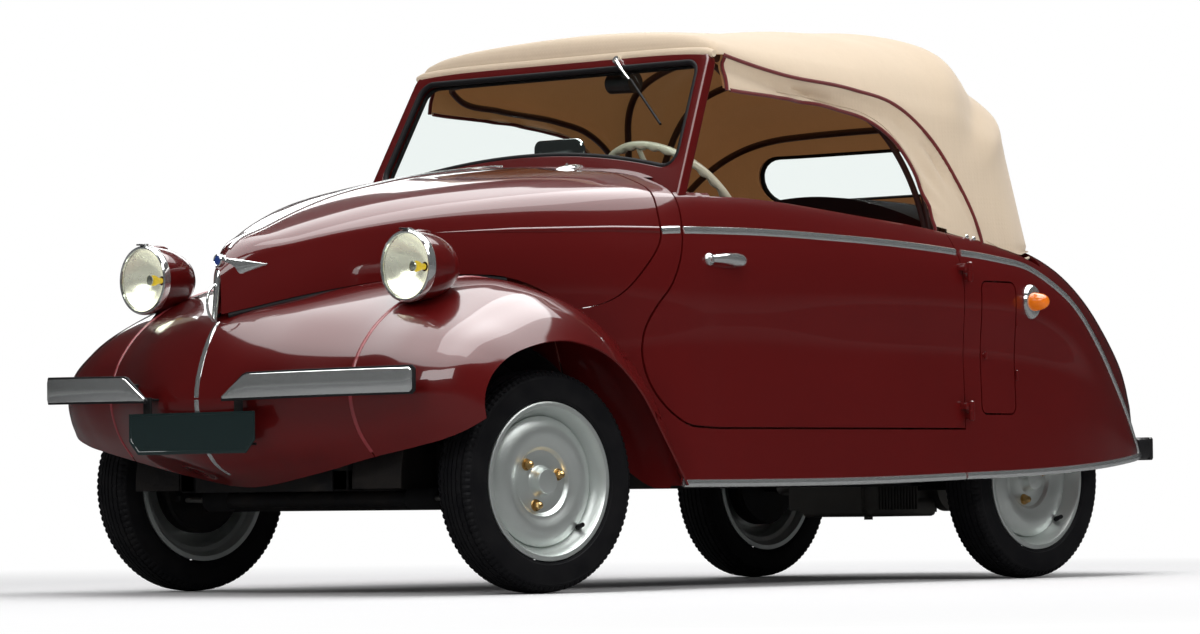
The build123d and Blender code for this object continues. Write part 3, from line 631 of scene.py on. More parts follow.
def hull_solid(inset=0.0, low_drop=0.0, along=220, around=96):
    def place(u, v):
        x = HULL[0][0] + (HULL[-1][0] - HULL[0][0]) * (u + 0.035 * np.sin(2 * np.pi * u))
        points = hull_point(x, v, inset)
        points[:, 2] -= low_drop * np.clip((400 - points[:, 2]) / 160, 0, 1)
        return put(points)

    return solid(grid(along, around, place))


def hull_side(x, z):
    """Half width of the hull at x and z."""
    s = np.linspace(0.5, 1, 120)
    out = []
    for one_x, one_z in zip(np.atleast_1d(x), np.atleast_1d(z)):
        points = hull_point(np.full(len(s), one_x, float), s)
        order = np.argsort(points[:, 2])
        out.append(np.interp(one_z, points[order, 2], points[order, 1]))
    return np.array(out)


def side_at(x, z):
    return float(hull_side(x, z)[0])


PONTOON_Y = np.array([row[0] for row in PONTOON], float)
PONTOON_POINTS = np.array([row[1:] for row in PONTOON], float)
PONTOON_Y = np.concatenate([-PONTOON_Y[:0:-1], PONTOON_Y])
PONTOON_POINTS = np.concatenate([PONTOON_POINTS[:0:-1], PONTOON_POINTS])


def pontoon_point(y, u):
    """Points of the nose surface: u runs from the chin at 0 round the front to the heel at 1."""
    count = PONTOON_POINTS.shape[1]
    flat = through(PONTOON_Y, PONTOON_POINTS.reshape(len(PONTOON_Y), -1),
                   y).reshape(len(y), count, 2)
    chord = np.sqrt((np.diff(flat, axis=1) ** 2).sum(axis=2)) + 1e-6
    slope = np.diff(flat, axis=1) / chord[..., None]
    inner = inner_slopes(slope.swapaxes(0, 1), chord.T[..., None]).swapaxes(0, 1)
    tangent = np.concatenate([slope[:, :1], inner, slope[:, -1:]], axis=1)
    want = u * (count - 1)
    index = np.clip(want.astype(int), 0, count - 2)
    rows = np.arange(len(u))
    t, h = (want - index)[:, None], chord[rows, index][:, None]
    xz = hermite(t, h, flat[rows, index], flat[rows, index + 1], tangent[rows, index],
                 tangent[rows, index + 1])
    return np.stack([xz[:, 0], y, xz[:, 1]], axis=1)


NOSE_ROWS, NOSE_WALL = 110, 4.0


def pontoon_sheet(y_from, y_to, across):
    """A wall of the nose surface between two y values."""
    bm = grid(NOSE_ROWS, across, lambda u, v: put(pontoon_point(y_from + (y_to - y_from) * v, u)))
    return walled(bm, NOSE_WALL, (0, 0, 1), len(bm.faces) // 2)


def grown(outline, amount):
    """An outline moved outwards from its own middle line by an amount."""
    points = np.asarray(outline, float)
    ahead, behind = np.roll(points, -1, 0) - points, points - np.roll(points, 1, 0)
    normal = np.stack([ahead[:, 1] + behind[:, 1], -ahead[:, 0] - behind[:, 0]], axis=1)
    normal /= np.linalg.norm(normal, axis=1)[:, None]
    area = np.sum(points[:, 0] * np.roll(points[:, 1], -1) - points[:, 1] * np.roll(points[:, 0],
                                                                                    -1))
    return points + normal * amount * (1 if area > 0 else -1)


class CarColours(bpy.types.PropertyGroup):
    paint: bpy.props.FloatVectorProperty(
        name="Paint", description="Enamel of the body panels", subtype="COLOR", size=3,
        default=(0.098, 0.0048, 0.0048))
    canvas: bpy.props.FloatVectorProperty(
        name="Hood canvas", description="Outer cloth of the soft top", subtype="COLOR", size=3,
        default=(0.68, 0.545, 0.395))
    lining: bpy.props.FloatVectorProperty(
        name="Hood lining", description="Inner cloth of the soft top", subtype="COLOR", size=3,
        default=(0.42, 0.20, 0.075))
    seats: bpy.props.FloatVectorProperty(
        name="Seats", description="Hide on the bench", subtype="COLOR", size=3,
        default=(0.16, 0.045, 0.035))


class CarSizes(bpy.types.PropertyGroup):
    panel_wall: bpy.props.FloatProperty(
        name="Panel wall", description="Depth of the doors and side walls", unit="LENGTH",
        default=0.040)
    shut_gap: bpy.props.FloatProperty(
        name="Shut gap", description="Gap round the doors and the bonnet", unit="LENGTH",
        default=0.005)
    trim_width: bpy.props.FloatProperty(
        name="Trim width", description="Width of the bright strips", unit="LENGTH", default=0.021)


def sizes():
    return bpy.context.scene.car_sizes


class CAR_OT_finishes(bpy.types.Operator):
    """Make the materials"""
    bl_idname = "car.finishes"
    bl_label = "Finishes"

    def execute(self, context):
        make_finishes(context.scene.car_colours)
        return {"FINISHED"}


class CAR_OT_body(bpy.types.Operator):
    """Build the hull, the bonnet, the doors and the small side lid"""
    bl_idname = "car.body"
    bl_label = "Body panels"

    def execute(self, context):
        gap = sizes().shut_gap * 1000
        wall = sizes().panel_wall * 1000
        door = smooth_corners(DOOR)
        bonnet_outline = [(-470, 1100), *smooth_line(BONNET_LOWER, 30),
                          *smooth_line(BONNET_REAR, 30)[1:], (500, 1100)]
        rear = smooth_line(BONNET_REAR, 30)[::-1] + (gap, 0)
        fender_line = smooth_line([(229, 648), (262, 622), (330, 540), (400, 440), (440, 340),
                                   (462, 235), (470, 200)], 20)
        behind = [(505, 1100), *rear, *fender_line[1:], (2700, 200), (2700, 1100)]
        shell = carved(hull_solid(), hull_solid(wall, 120.0, 160, 72))
        keep = shell.copy()
        cabin = [(640, 700), (640, 1100), (1880, 1100), (1880, 700)]
        body = carved(shell, prism(behind, -FAR, FAR), keep="INTERSECT")
        hatch = rounded_outline(*LID)
        well = rear_well()
        body = carved(body, prism(grown(door, gap), -FAR, FAR),
                      prism(cabin, -CABIN_HALF, CABIN_HALF), well,
                      prism(grown(hatch, 4), -FAR, -540))
        piece("body_shell", body, "paint", replaces=["body_tub"])
        for side, name in SIDES:
            part = carved(keep.copy(), prism(door, side * 530, side * FAR), keep="INTERSECT")
            part = carved(part, prism(cabin, -CABIN_HALF, CABIN_HALF))
            piece(f"door_panel_{name}", part, "paint", f"door_{name}", [f"door_{name}"])
        lid = carved(hull_solid(), hull_solid(12.0, 0.0, 160, 72))
        small = carved(lid.copy(), prism(hatch, -FAR, -500), keep="INTERSECT")
        piece("side_lid", small, "paint", "side_hatch", ["side_hatch"])
        lid = carved(lid, prism(bonnet_outline, -FAR, FAR), keep="INTERSECT")
        piece("bonnet_panel", lid, "paint", "bonnet", ["bonnet"])
        keep.free()
        return {"FINISHED"}


def smooth_corners(outline):
    """The door's outline with its front edge as a smooth line."""
    front = smooth_line(outline[1:-1], 60)
    return [outline[0], *[tuple(p) for p in front], outline[-1]]


CORNER_STEPS = 6


def rounded_outline(x_from, x_to, z_from, z_to, radius):
    out = []
    corners = [(x_to - radius, z_to - radius, 0), (x_from + radius, z_to - radius, 90),
               (x_from + radius, z_from + radius, 180), (x_to - radius, z_from + radius, 270)]
    for x, z, start in corners:
        for k in range(CORNER_STEPS + 1):
            a = math.radians(start + 90 * k / CORNER_STEPS)
            out.append((x + radius * math.cos(a), z + radius * math.sin(a)))
    return out


def rear_well():
    return bar((WHEELBASE, -522, TYRE_RADIUS), (WHEELBASE, 522, TYRE_RADIUS),
               WELL_RADIUS, segments=64)


class CAR_OT_fenders(bpy.types.Operator):
    """Build the nose panel and the two front fenders"""
    bl_idname = "car.fenders"
    bl_label = "Nose and fenders"

    def execute(self, context):
        piece("nose_panel", pontoon_sheet(-SEAM_Y + 2, SEAM_Y - 2, 80), "paint",
              replaces=["nose_apron"])
        behind = [(475, 150), (462, 235), (440, 340), (400, 440), (330, 540), (262, 622),
                  (200, 800), (-600, 800), (-600, 150)]
        for side, name in SIDES:
            sheet = pontoon_sheet(side * (SEAM_Y + 2), side * 686.5, 40)
            sheet = carved(sheet, prism(behind, -FAR, FAR), keep="INTERSECT")
            piece(f"fender_panel_{name}", sheet, "paint", replaces=[f"fender_{name}"])
        return {"FINISHED"}


FRONT_TRACK, REAR_TRACK, TYRE_RADIUS, KING_PIN_Y = 1169.0, 912.0, 252.0, 489.5
STEER_AT_REST = 5.0
TYRE_STEPS = 297  # round the tyre
RIM = [
    (167, 49), (168.5, 51.3), (176, 51.6), (179, 50), (179.5, 46.5), (174, 45), (170.5, 42),
    (166, 36), (163, 28), (160, 20), (154, 12), (150, 6), (150, -30), (160, -36), (170, -45),
    (179, -47), (179, -51), (168, -51), (165, -47), (157, -34), (146, -30), (146, 10), (150, 16),
    (157, 26), (161, 36), (164, 44), (167, 49),
]
DISC = [
    (147.5, 12), (147, 19), (144.5, 21.5), (138, 26), (128, 31.5), (118, 34.5), (108, 35), (98, 33),
    (89, 29), (83, 26.8), (78.5, 26.3), (76, 24.5), (73.5, 20), (70.5, 17.6), (62, 16.8),
    (50, 16.8), (42, 17.2), (36.5, 18.8), (33.5, 22), (31.5, 27), (30, 30), (29, 38), (28.6, 42),
    (27, 44.6), (23, 45.6), (0, 46), (0, 42), (22, 41.6), (24, 36), (26, 20), (30, 12), (40, 11),
    (62, 10), (72, 11), (77, 18), (84, 22), (98, 27), (110, 29), (128, 25), (138, 19), (143, 13),
    (147, 9), (147.5, 12),
]
TYRE = [
    (181, 47), (183, 49.5), (186.5, 51), (188, 53), (191, 53.4), (194, 54.2), (202, 55.6),
    (214, 56), (226, 55), (230, 54.6), (231, 55), (233, 54.6), (236, 53), (239, 51.4), (240, 50),
    (245, 47), (247.4, 42), (248.4, 38), (244.6, 37.6), (244.8, 34.2), (249.4, 33.8), (250.4, 22),
    (246.2, 21.7), (246.3, 18.5), (250.8, 18.2), (251.6, 8.4), (247.6, 8.1), (247.6, 4.9),
    (251.8, 4.6), (252, 0),
]


def at_wheel(bm, x, y, steered_side=0):
    bmesh.ops.translate(bm, verts=bm.verts, vec=put((x, y, TYRE_RADIUS))[0])
    if steered_side:
        pin = Matrix.Translation(put((0, steered_side * KING_PIN_Y, 0))[0])
        turn = Matrix.Rotation(math.radians(-STEER_AT_REST), 4, "Z")
        bmesh.ops.transform(bm, verts=bm.verts, matrix=pin @ turn @ pin.inverted())
    return bm


def local(bm):
    """Moves a form made at the axle back to the frame's zero, for at_wheel() to place."""
    bmesh.ops.translate(bm, verts=bm.verts, vec=-FRONT_AXLE)
    return bm


def nuts_and_valve(side):
    """Three dome nuts round the hub and the valve in the rim, facing the given side."""
    nuts = bmesh.new()
    for angle in (16, 136, 256):
        a = math.radians(angle)
        centre = (55 * math.cos(a), 55 * math.sin(a))
        where = lambda out: (centre[0], side * out, centre[1])
        one = joined(bar(where(14), where(20), 15, 13, 24),
                     bar(where(19), where(28), 10.5, segments=6),
                     bar(where(28), where(34), 8.8, 7.6, 20),
                     bar(where(34), where(38), 7.6, 3.2, 20))
        nuts = joined(nuts, one)
    a = math.radians(-44)
    foot = [150 * math.cos(a), side * 22, 150 * math.sin(a)]
    tip = [141 * math.cos(a), side * 46, 141 * math.sin(a)]
    middle = [(p + q) / 2 for p, q in zip(foot, tip)]
    return nuts, joined(bar(foot, middle, 7, 5.5, 16), bar(middle, tip, 4.2, 4.2, 14),
                        bar([m * 0.4 + t * 0.6 for m, t in zip(middle, tip)], tip, 5.4, 5.0, 12))


def tread_blocks(bm):
    """Cuts the shoulder ribs of a tyre at the wheel's zero into blocks."""
    for vert in bm.verts:
        radius = math.hypot(vert.co.x, vert.co.z) * 1000
        along = abs(vert.co.y) * 1000
        step = round((math.atan2(vert.co.z, vert.co.x) / (2 * math.pi) % 1) * TYRE_STEPS)
        edge_rib = radius > 238 and along > 37.9
        inner_rib = radius > 248.5 and 17 < along < 35 and (step + 2) % 6 == 0
        if edge_rib and step % 3 == 0 or inner_rib:
            shrink = 1 - (2.4 if edge_rib else 2.2) / radius
            vert.co.x, vert.co.z = vert.co.x * shrink, vert.co.z * shrink
            if edge_rib:
                vert.co.y *= 0.975


class CAR_OT_wheels(bpy.types.Operator):
    """Build the four wheels, their nuts and valves, the brake drums and the tyres"""
    bl_idname = "car.wheels"
    bl_label = "Wheels and tyres"

    def execute(self, context):
        for side, name in SIDES:
            for end, x, y in (("front", 0, FRONT_TRACK / 2), ("rear", WHEELBASE, REAR_TRACK / 2)):
                steered = side if end == "front" else 0
                where, body = (x, side * y), f"wheel_{end}_{name}"

                def place(bm, moved=True):
                    return at_wheel(local(bm) if moved else bm, *where, steered)

                rim = joined(turned(RIM, 96, facing=side), turned(DISC, 96, facing=side))
                piece(f"disc_wheel_{end}_{name}", place(rim), "silver", body,
                      [f"wheel_{end}_{name}"], 28)
                nuts, valve = nuts_and_valve(side)
                piece(f"wheel_nuts_{end}_{name}", place(nuts), "brass", body)
                piece(f"valve_{end}_{name}", place(valve), "trim_rubber", body)
                drum = turned([(0, -6), (104, -6), (112, -10), (112, -44), (106, -48), (106, -52),
                               (0, -52)], 64, facing=side)
                piece(f"brake_drum_{end}_{name}", place(drum), "iron", body)
                profile = TYRE + [(r, -a) for r, a in TYRE[-2::-1]]
                inner = [(184, -40), (196, -46), (222, -46), (236, -36), (240, 0), (236, 36),
                         (222, 46), (196, 46), (184, 40)]
                tyre = local(turned([*profile, *inner, profile[0]], TYRE_STEPS))
                tread_blocks(tyre)
                piece(f"tyre_tread_{end}_{name}", place(tyre, False), "rubber", body,
                      [f"tyre_{end}_{name}"], 24)
        return {"FINISHED"}


LAMP_X, LAMP_Y, LAMP_Z = -267.0, 441.0, 736.5


def flutes(bm, at_y):
    """Presses vertical flutes into the lower part of a lamp glass."""
    for vert in bm.verts:
        y = vert.co.y * 1000 - at_y
        z = vert.co.z * 1000 - LAMP_Z
        depth = min(max((-z - 8) / 14, 0), 1) * min(max((76 - math.hypot(y, z)) / 10, 0), 1)
        vert.co.x -= depth * abs(math.sin(y * math.pi / 13)) * 2.4 / 1000


class CAR_OT_headlamps(bpy.types.Operator):
    """Build the two lamps: shell, bright rim, reflector, bulb, fluted glass and pedestal"""
    bl_idname = "car.headlamps"
    bl_label = "Headlamps"

    def execute(self, context):
        shell = [(80, 12), (84.5, 12), (85, 20), (84.5, 40), (82, 66), (76.5, 92), (67.5, 116),
                 (54.5, 138), (38, 155), (20, 166), (8, 170), (0, 171), (0, 166), (20, 161),
                 (50, 136), (64, 112), (74, 88), (79, 60), (80, 30), (80, 12)]
        rim = [(78, -1), (79.5, -4.2), (83, -5.2), (86.5, -3), (88, 2), (88, 11), (86.8, 14),
               (84, 14), (84, 8), (81, 5), (79, 3), (78, -1)]
        bowl = [(78, 3), (72, 12), (60, 27), (44, 42), (26, 53), (12, 57), (12, 60), (28, 56),
                (46, 45), (63, 29), (75, 13), (79.6, 5), (78, 3)]
        glass = [(79, 1), (76, -4.4), (66, -8.6), (52, -11.4), (36, -13.2), (18, -14.2), (0, -14.6),
                 (0, -11.4), (18, -11), (36, -10), (52, -8.2), (66, -5.4), (76, -1.2), (79, 1)]
        shell = [(r * 0.93, a * 0.86) for r, a in shell]
        rim, bowl, glass = ([(r * 0.93, a) for r, a in line] for line in (rim, bowl, glass))
        for side, name in SIDES:
            at = (LAMP_X, side * LAMP_Y, LAMP_Z)
            top = (LAMP_X + 8, side * LAMP_Y, LAMP_Z + 81)
            post = turned([(0, 0), (33, 0), (32, 8), (25, 20), (21, 44), (20, 76), (0, 76)], 40)
            bmesh.ops.rotate(post, verts=post.verts, matrix=Matrix.Rotation(math.pi / 2, 3, "X"),
                             cent=FRONT_AXLE)
            bmesh.ops.translate(post, verts=post.verts,
                                vec=((LAMP_X + 78) / 1000, side * LAMP_Y / 1000,
                                     (LAMP_Z - 108) / 1000))
            crest = turned([(0, -30), (4, -27), (6.5, -14), (7, 0), (6, 16), (3, 27), (0, 30)], 24,
                           (LAMP_X + 48, side * LAMP_Y, LAMP_Z + 76), "X")
            piece(f"lamp_shell_{name}", joined(turned(shell, 72, at, "X"), post, crest), "paint",
                  replaces=[f"headlamp_{name}"])
            piece(f"lamp_rim_{name}", turned(rim, 72, at, "X"), "chrome")
            piece(f"lamp_reflector_{name}", turned(bowl, 64, at, "X"), "reflector")
            fine = turned(glass, 144, at, "X")
            flutes(fine, side * LAMP_Y)
            piece(f"lamp_glass_{name}", fine, "lens", replaces=[f"headlamp_lens_{name}"])
            bulb = turned([(0, 20), (6, 21), (11, 25), (13, 31), (11.5, 38), (8, 44), (7, 56),
                           (0, 55)], 28, at, "X")
            piece(f"lamp_bulb_{name}", bulb, "amber")
            cap = turned([(0, 14), (7, 15), (12, 18), (12, 20), (7, 19), (0, 18)], 28, at, "X")
            piece(f"lamp_bulb_cap_{name}", cap, "chrome")
            clip = joined(box((top[0] - 10, top[1] - 9, top[2] - 3),
                              (top[0] + 10, top[1] + 9, top[2] + 2.4), 1.2),
                          bar((top[0] - 4, top[1] - 12, top[2] + 2),
                              (top[0] - 4, top[1] + 12, top[2] + 2), 2.6, segments=14))
            piece(f"lamp_clip_{name}", clip, "chrome")
            tab = box((top[0] - 24, top[1] - 7, top[2] + 0.4), (top[0] - 6, top[1] + 7, top[2] + 4),
                      1.2)
            piece(f"lamp_tab_{name}", tab, "black")
            bolt = joined(bar((LAMP_X + 78, side * LAMP_Y - 27, 656),
                              (LAMP_X + 78, side * LAMP_Y + 27, 656), 6, 6, 6),
                          bar((LAMP_X + 78, side * LAMP_Y - 24, 656),
                              (LAMP_X + 78, side * LAMP_Y + 24, 656), 9.5))
            piece(f"lamp_bolt_{name}", bolt, "chrome")
        return {"FINISHED"}


PLATE_STEPS = 26  # cuts along a bent plate


def arc_through(a, b, c):
    """Centre and radius of the circle through three plan points."""
    (ax, ay), (bx, by), (cx, cy) = a, b, c
    d = 2 * (ax * (by - cy) + bx * (cy - ay) + cx * (ay - by))
    ux = ((ax**2 + ay**2) * (by - cy) + (bx**2 + by**2) * (cy - ay) + (cx**2 + cy**2)
          * (ay - by)) / d
    uy = ((ax**2 + ay**2) * (cx - bx) + (bx**2 + by**2) * (ax - cx) + (cx**2 + cy**2)
          * (bx - ax)) / d
    return (ux, uy), math.hypot(ax - ux, ay - uy)


def bent_plate(outline, plan, thick, edge):
    """A plate with an outline in (run, z), bent along the arc through three plan points."""
    centre, radius = arc_through(*plan)
    start = math.atan2(plan[0][1] - centre[1], plan[0][0] - centre[0])
    end = math.atan2(plan[2][1] - centre[1], plan[2][0] - centre[0])
    sweep = (end - start + math.pi) % (2 * math.pi) - math.pi
    bm = slab([(run / 1000, 0, z / 1000) for run, z in outline], (0, thick / 1000, 0))
    rim = [e for e in bm.edges if e.is_manifold and e.calc_face_angle(0) > 0.6
           and all(v.co.y > thick / 2000 for v in e.verts)]
    rounded(bm, rim, edge, 3)
    length = radius * abs(sweep) / 1000
    for k in range(1, PLATE_STEPS):
        bmesh.ops.bisect_plane(bm, geom=bm.verts[:] + bm.edges[:] + bm.faces[:], dist=1e-6,
                               plane_co=(length * k / PLATE_STEPS, 0, 0), plane_no=(1, 0, 0))
    for vert in bm.verts:
        angle = start + sweep * (vert.co.x / length)
        out = radius + vert.co.y * 1000
        vert.co = put((centre[0] + out * math.cos(angle), centre[1] + out * math.sin(angle),
                       vert.co.z * 1000))[0]
    return outwards(bm)


class CAR_OT_bumpers(bpy.types.Operator):
    """Build the split front bumper, the blank plate and the rear bumper"""
    bl_idname = "car.bumpers"
    bl_label = "Bumpers and plate"

    def execute(self, context):
        for side, name in SIDES:
            plan = [(-537, side * 127), (-504, side * 372), (-414, side * 606)]
            run = 503
            low = lambda s: 442 + 8 * s / run
            face = [(4, low(0) + 2), (run - 7, low(run)), (run, low(run) + 7), (run, low(run) + 48),
                    (run - 7, low(run) + 55), (82, low(82) + 55), (70, low(70) + 52),
                    (3, low(0) + 8)]
            middle = np.mean(face, axis=0)
            back = [tuple(middle + (np.array(p) - middle) * (1.018, 1.17)) for p in face]
            piece(f"bumper_backing_{name}", bent_plate(back, plan, 6, 1.5), "trim_rubber")
            proud = [(x - 5.6, y) for x, y in plan]
            arms = joined(box((-517, side * 238, 456), (-410, side * 264, 486), 3),
                          box((-452, side * 480, 460), (-352, side * 506, 490), 3))
            piece(f"bumper_arms_{name}", arms, "iron")
            piece(f"bumper_bar_{name}", bent_plate(face, proud, 3.6, 2.6), "chrome",
                  replaces=[f"bumper_front_{name}"], crease=50)
        low, high, half = 322, 416, 210
        outline = [(-half, high), (half, high), (half, low + 30), (half - 30, low),
                   (30 - half, low), (-half, low + 30)]
        bm = slab(put([(-517, y, z) for y, z in outline]), (-0.003, 0, 0))
        front = min(bm.faces, key=lambda f: f.calc_center_median().x)
        rounded(bm, list(front.edges), 1.2, 2)
        front = max((f for f in bm.faces if f.normal.x < -0.99), key=lambda f: f.calc_area())
        bmesh.ops.inset_region(bm, faces=[front], thickness=0.006, depth=0)
        bmesh.ops.inset_region(bm, faces=[front], thickness=0.0016, depth=-0.0012)
        piece("front_plate", bm, "plate", replaces=["number_plate"])
        straps = bmesh.new()
        for side, _ in SIDES:
            y = side * 152
            straps = joined(straps, box((-516, y - 13, 384), (-511, y + 13, 452), 1.5),
                            box((-514, y - 13, 444), (-430, y + 13, 450), 1.5),
                            box((-514, y - 13, 340), (-470, y + 13, 346), 1.5))
        piece("plate_straps", straps, "iron")
        plan = [(2560, -365), (2611, 0), (2560, 365)]
        _, radius = arc_through(*plan)
        run = radius * 2 * math.asin(365 / radius)
        outline = [(0, 302), (4, 298), (run - 4, 298), (run, 302), (run, 354), (run - 4, 358),
                   (4, 358), (0, 354)]
        back = bent_plate(outline, [(x - 14, y) for x, y in plan], 13.5, 5)
        arms = joined(*(box((2430, y - 14, 318), (2560, y + 14, 338), 3) for y in (-270, 270)))
        lips = joined(*(box((2500, side * 330, 300), (2556, side * 365, 356), 8, 3) for side,
                        _ in SIDES))
        piece("rear_bumper_bar", joined(back, lips), "black", replaces=["bumper_rear"])
        piece("rear_bumper_arms", arms, "iron")
        return {"FINISHED"}


SCREEN_FOOT = np.array([562.0, 0.0, 955.0])
SCREEN_UP = np.array([0.4349, 0.0, 0.9005])
SCREEN_OUT = np.array([-0.9005, 0.0, 0.4349])
SCREEN_CORNER_STEPS = 8
SCREEN_MIDDLE = 172.0
# Corners (y, up) of the frame and of the clear glass, then the radius of each corner
SCREEN_FRAME = ([(-541, -70), (541, -70), (491, 353), (-491, 353)], (8, 8, 44, 44))
SCREEN_CLEAR = ([(-497, 26), (497, 26), (464, 318), (-464, 318)], (46, 46, 40, 40))


def on_screen(y, up, out=0.0):
    """A point of the windscreen's plane, `up` its slope and `out` ahead of it."""
    return SCREEN_FOOT + np.array([0, y, 0]) + SCREEN_UP * up + SCREEN_OUT * out


def corner_line(points, radii):
    """A closed line through corners (y, up), each rounded with its own radius."""
    points = [np.array(p, float) for p in points]
    out = []
    for k, (corner, radius) in enumerate(zip(points, radii)):
        before, after = points[k - 1], points[(k + 1) % len(points)]
        a, b = (before - corner), (after - corner)
        a, b = a / np.linalg.norm(a), b / np.linalg.norm(b)
        half = math.acos(np.clip(a @ b, -1, 1)) / 2
        reach = radius / math.tan(half)
        centre = corner + (a + b) / np.linalg.norm(a + b) * radius / math.sin(half)
        first, last = corner + a * reach - centre, corner + b * reach - centre
        start, end = math.atan2(first[1], first[0]), math.atan2(last[1], last[0])
        sweep = (end - start + math.pi) % (2 * math.pi) - math.pi
        for step in range(SCREEN_CORNER_STEPS + 1):
            turn = start + sweep * step / SCREEN_CORNER_STEPS
            out.append(tuple(centre + radius * np.array([math.cos(turn), math.sin(turn)])))
    return out


def bowed_foot(line, rise):
    """Lifts the lower side of a windscreen line in its middle, as the scuttle is crowned."""
    low = min(p[1] for p in line)
    wide = max(abs(p[0]) for p in line)
    out = []
    for y, up in line:
        share = np.clip(1 - (up - low) / 40, 0, 1)
        out.append((y, up + rise * share * (1 - (y / wide) ** 2)))
    return out


def dense(line, step):
    """More points along the straight runs of a closed line."""
    out = []
    for k, p in enumerate(line):
        q = line[(k + 1) % len(line)]
        count = max(1, int(math.dist(p, q) / step))
        out += [(p[0] + (q[0] - p[0]) * t / count, p[1] + (q[1] - p[1]) * t / count)
                for t in range(count)]
    return out


def onto_line(middle, toward, line):
    """Where the ray from `middle` through `toward` meets a closed line around it."""
    middle = np.array(middle)
    ray = np.array(toward) - middle
    best = math.inf
    for k, start in enumerate(line):
        p, q = np.array(start) - middle, np.array(line[(k + 1) % len(line)]) - middle
        run = q - p
        cross = ray[0] * run[1] - ray[1] * run[0]
        if abs(cross) > 1e-9:
            reach = (p[0] * run[1] - p[1] * run[0]) / cross
            share = (p[0] * ray[1] - p[1] * ray[0]) / cross
            if reach > 0 and -1e-6 <= share <= 1 + 1e-6:
                best = min(best, reach)
    return tuple(middle + ray * best)


def ring_frame(outer, inner, out_from, out_to, edge):
    """A flat frame between two closed lines of equal length, given depth and rounded edges."""
    bm = bmesh.new()
    loops = []
    for line in (outer, inner):
        verts = [bm.verts.new(put(on_screen(y, up, out_to))[0]) for y, up in line]
        loops += [bm.edges.new((verts[k - 1], verts[k])) for k in range(len(verts))]
    bmesh.ops.bridge_loops(bm, edges=loops)
    outwards(bm)
    if sum(f.normal.dot(Vector(SCREEN_OUT)) for f in bm.faces) < 0:
        bmesh.ops.reverse_faces(bm, faces=bm.faces)
    pushed(bm, bm.faces[:], Vector(SCREEN_OUT) * (out_from - out_to) / 1000)
    sharp = [e for e in bm.edges if e.is_manifold and e.calc_face_angle(0) > 1.2]
    rounded(bm, sharp, edge, 4)
    return bm


class CAR_OT_windscreen(bpy.types.Operator):
    """Build the windscreen frame, its rubber, the glass, the wiper, its motor and the mirror"""
    bl_idname = "car.windscreen"
    bl_label = "Windscreen"

    def execute(self, context):
        outer, inner = corner_line(*SCREEN_FRAME), corner_line(*SCREEN_CLEAR)
        clear = bowed_foot(dense(inner, 24), 62)
        wide = [onto_line((0.0, SCREEN_MIDDLE), p, outer) for p in clear]
        piece("screen_frame", ring_frame(wide, clear, -15, 15, 6), "paint",
              replaces=["windscreen_frame"], crease=50)
        seal = [on_screen(y, up, 9) for y, up in [*clear, clear[0]]]
        piece("screen_rubber", swept(seal, 7.5, sides=12, closed=True), "trim_rubber")
        inside = swept([p - SCREEN_OUT * 20 for p in seal], 6, sides=10, closed=True)
        piece("screen_rubber_inside", inside, "trim_rubber")
        pane = put([on_screen(y * 1.004, SCREEN_MIDDLE + (up - SCREEN_MIDDLE) * 1.01, 2) for y,
                    up in clear])
        piece("screen_glass", slab(pane, Vector(SCREEN_OUT) * -0.005), "glass",
              replaces=["windscreen_glass"])
        pivot = on_screen(-196, 334, 12)
        head = on_screen(-196, 334, 26)
        tip = on_screen(-262, 276, 22)
        line = [head - SCREEN_OUT * 3, head * 0.5 + tip * 0.5 + SCREEN_OUT * 7,
                tip + SCREEN_OUT * 2]
        arm = joined(bar(pivot, head, 11, 9, 24),
                     swept(line, 3.4, 24, 10, taper=((0, 1), (1.5, 0.8))))
        piece("wiper_arm", arm, "chrome", replaces=["wiper"])
        low, high = on_screen(-405, 150, 14), on_screen(-256, 282, 14)
        under = [low - SCREEN_OUT * 2.5, high - SCREEN_OUT * 2.5]
        blade = joined(swept([low, high], 3.2, 12, 8), swept(under, 2.2, 12, 6))
        piece("wiper_blade", blade, "trim_rubber")
        centre = on_screen(-150, 318, -60)
        motor = joined(bar(centre + (0, -46, 0), centre + (0, 34, 0), 26, 24, 32),
                       bar(centre + (0, 34, 0), centre + (0, 44, 0), 24, 12, 32),
                       bar(centre + (-8, -30, 8), on_screen(-180, 334, -14), 12, 12, 20))
        piece("wiper_motor", motor, "black")
        back = bmesh.new()
        outline = rounded_outline(-84, 76, 1026, 1084, 20)
        face = back.faces.new([back.verts.new(put((694, y, z))[0]) for y, z in outline])
        for move, share in ((-12, 1.0), (-4, 0.94), (-2, 0.8)):
            face = bmesh.ops.extrude_face_region(back, geom=[face])["geom"]
            face = next(f for f in face if isinstance(f, bmesh.types.BMFace))
            middle = face.calc_center_median()
            bmesh.ops.scale(back, vec=(1, share, share), verts=face.verts,
                            space=Matrix.Translation(-middle))
            bmesh.ops.translate(back, verts=face.verts, vec=(move / 1000, 0, 0))
        shell = joined(outwards(back), bar((684, -4, 950), (684, -4, 1032), 6, 4.5),
                       bar((684, -4, 958), (684, -4, 966), 20, 14, 28))
        piece("mirror_shell", shell, "bright_back", replaces=["mirror"])
        face = box((693, -78, 1031), (696, 70, 1079), 1.2)
        # The mirror's face takes the glowing reflector finish: painted light.
        piece("mirror_face", face, "reflector")
        return {"FINISHED"}


# ---------------------------------------------------------------- bright strips and welts
BELT_PROUD = 4.5


def belt_strip(name, points, side, count, body="car"):
    """A low half-round bright strip on the hull's side, along points (x, z)."""
    line = smooth_line(points, count)
    ys = hull_side(line[:, 0], line[:, 1]) - 1.0
    path = np.stack([line[:, 0], side * ys, line[:, 1]], axis=1)
    width = sizes().trim_width * 1000
    piece(name, swept(path, BELT_PROUD, sides=12, flat=width / 2 / BELT_PROUD), "chrome", body)


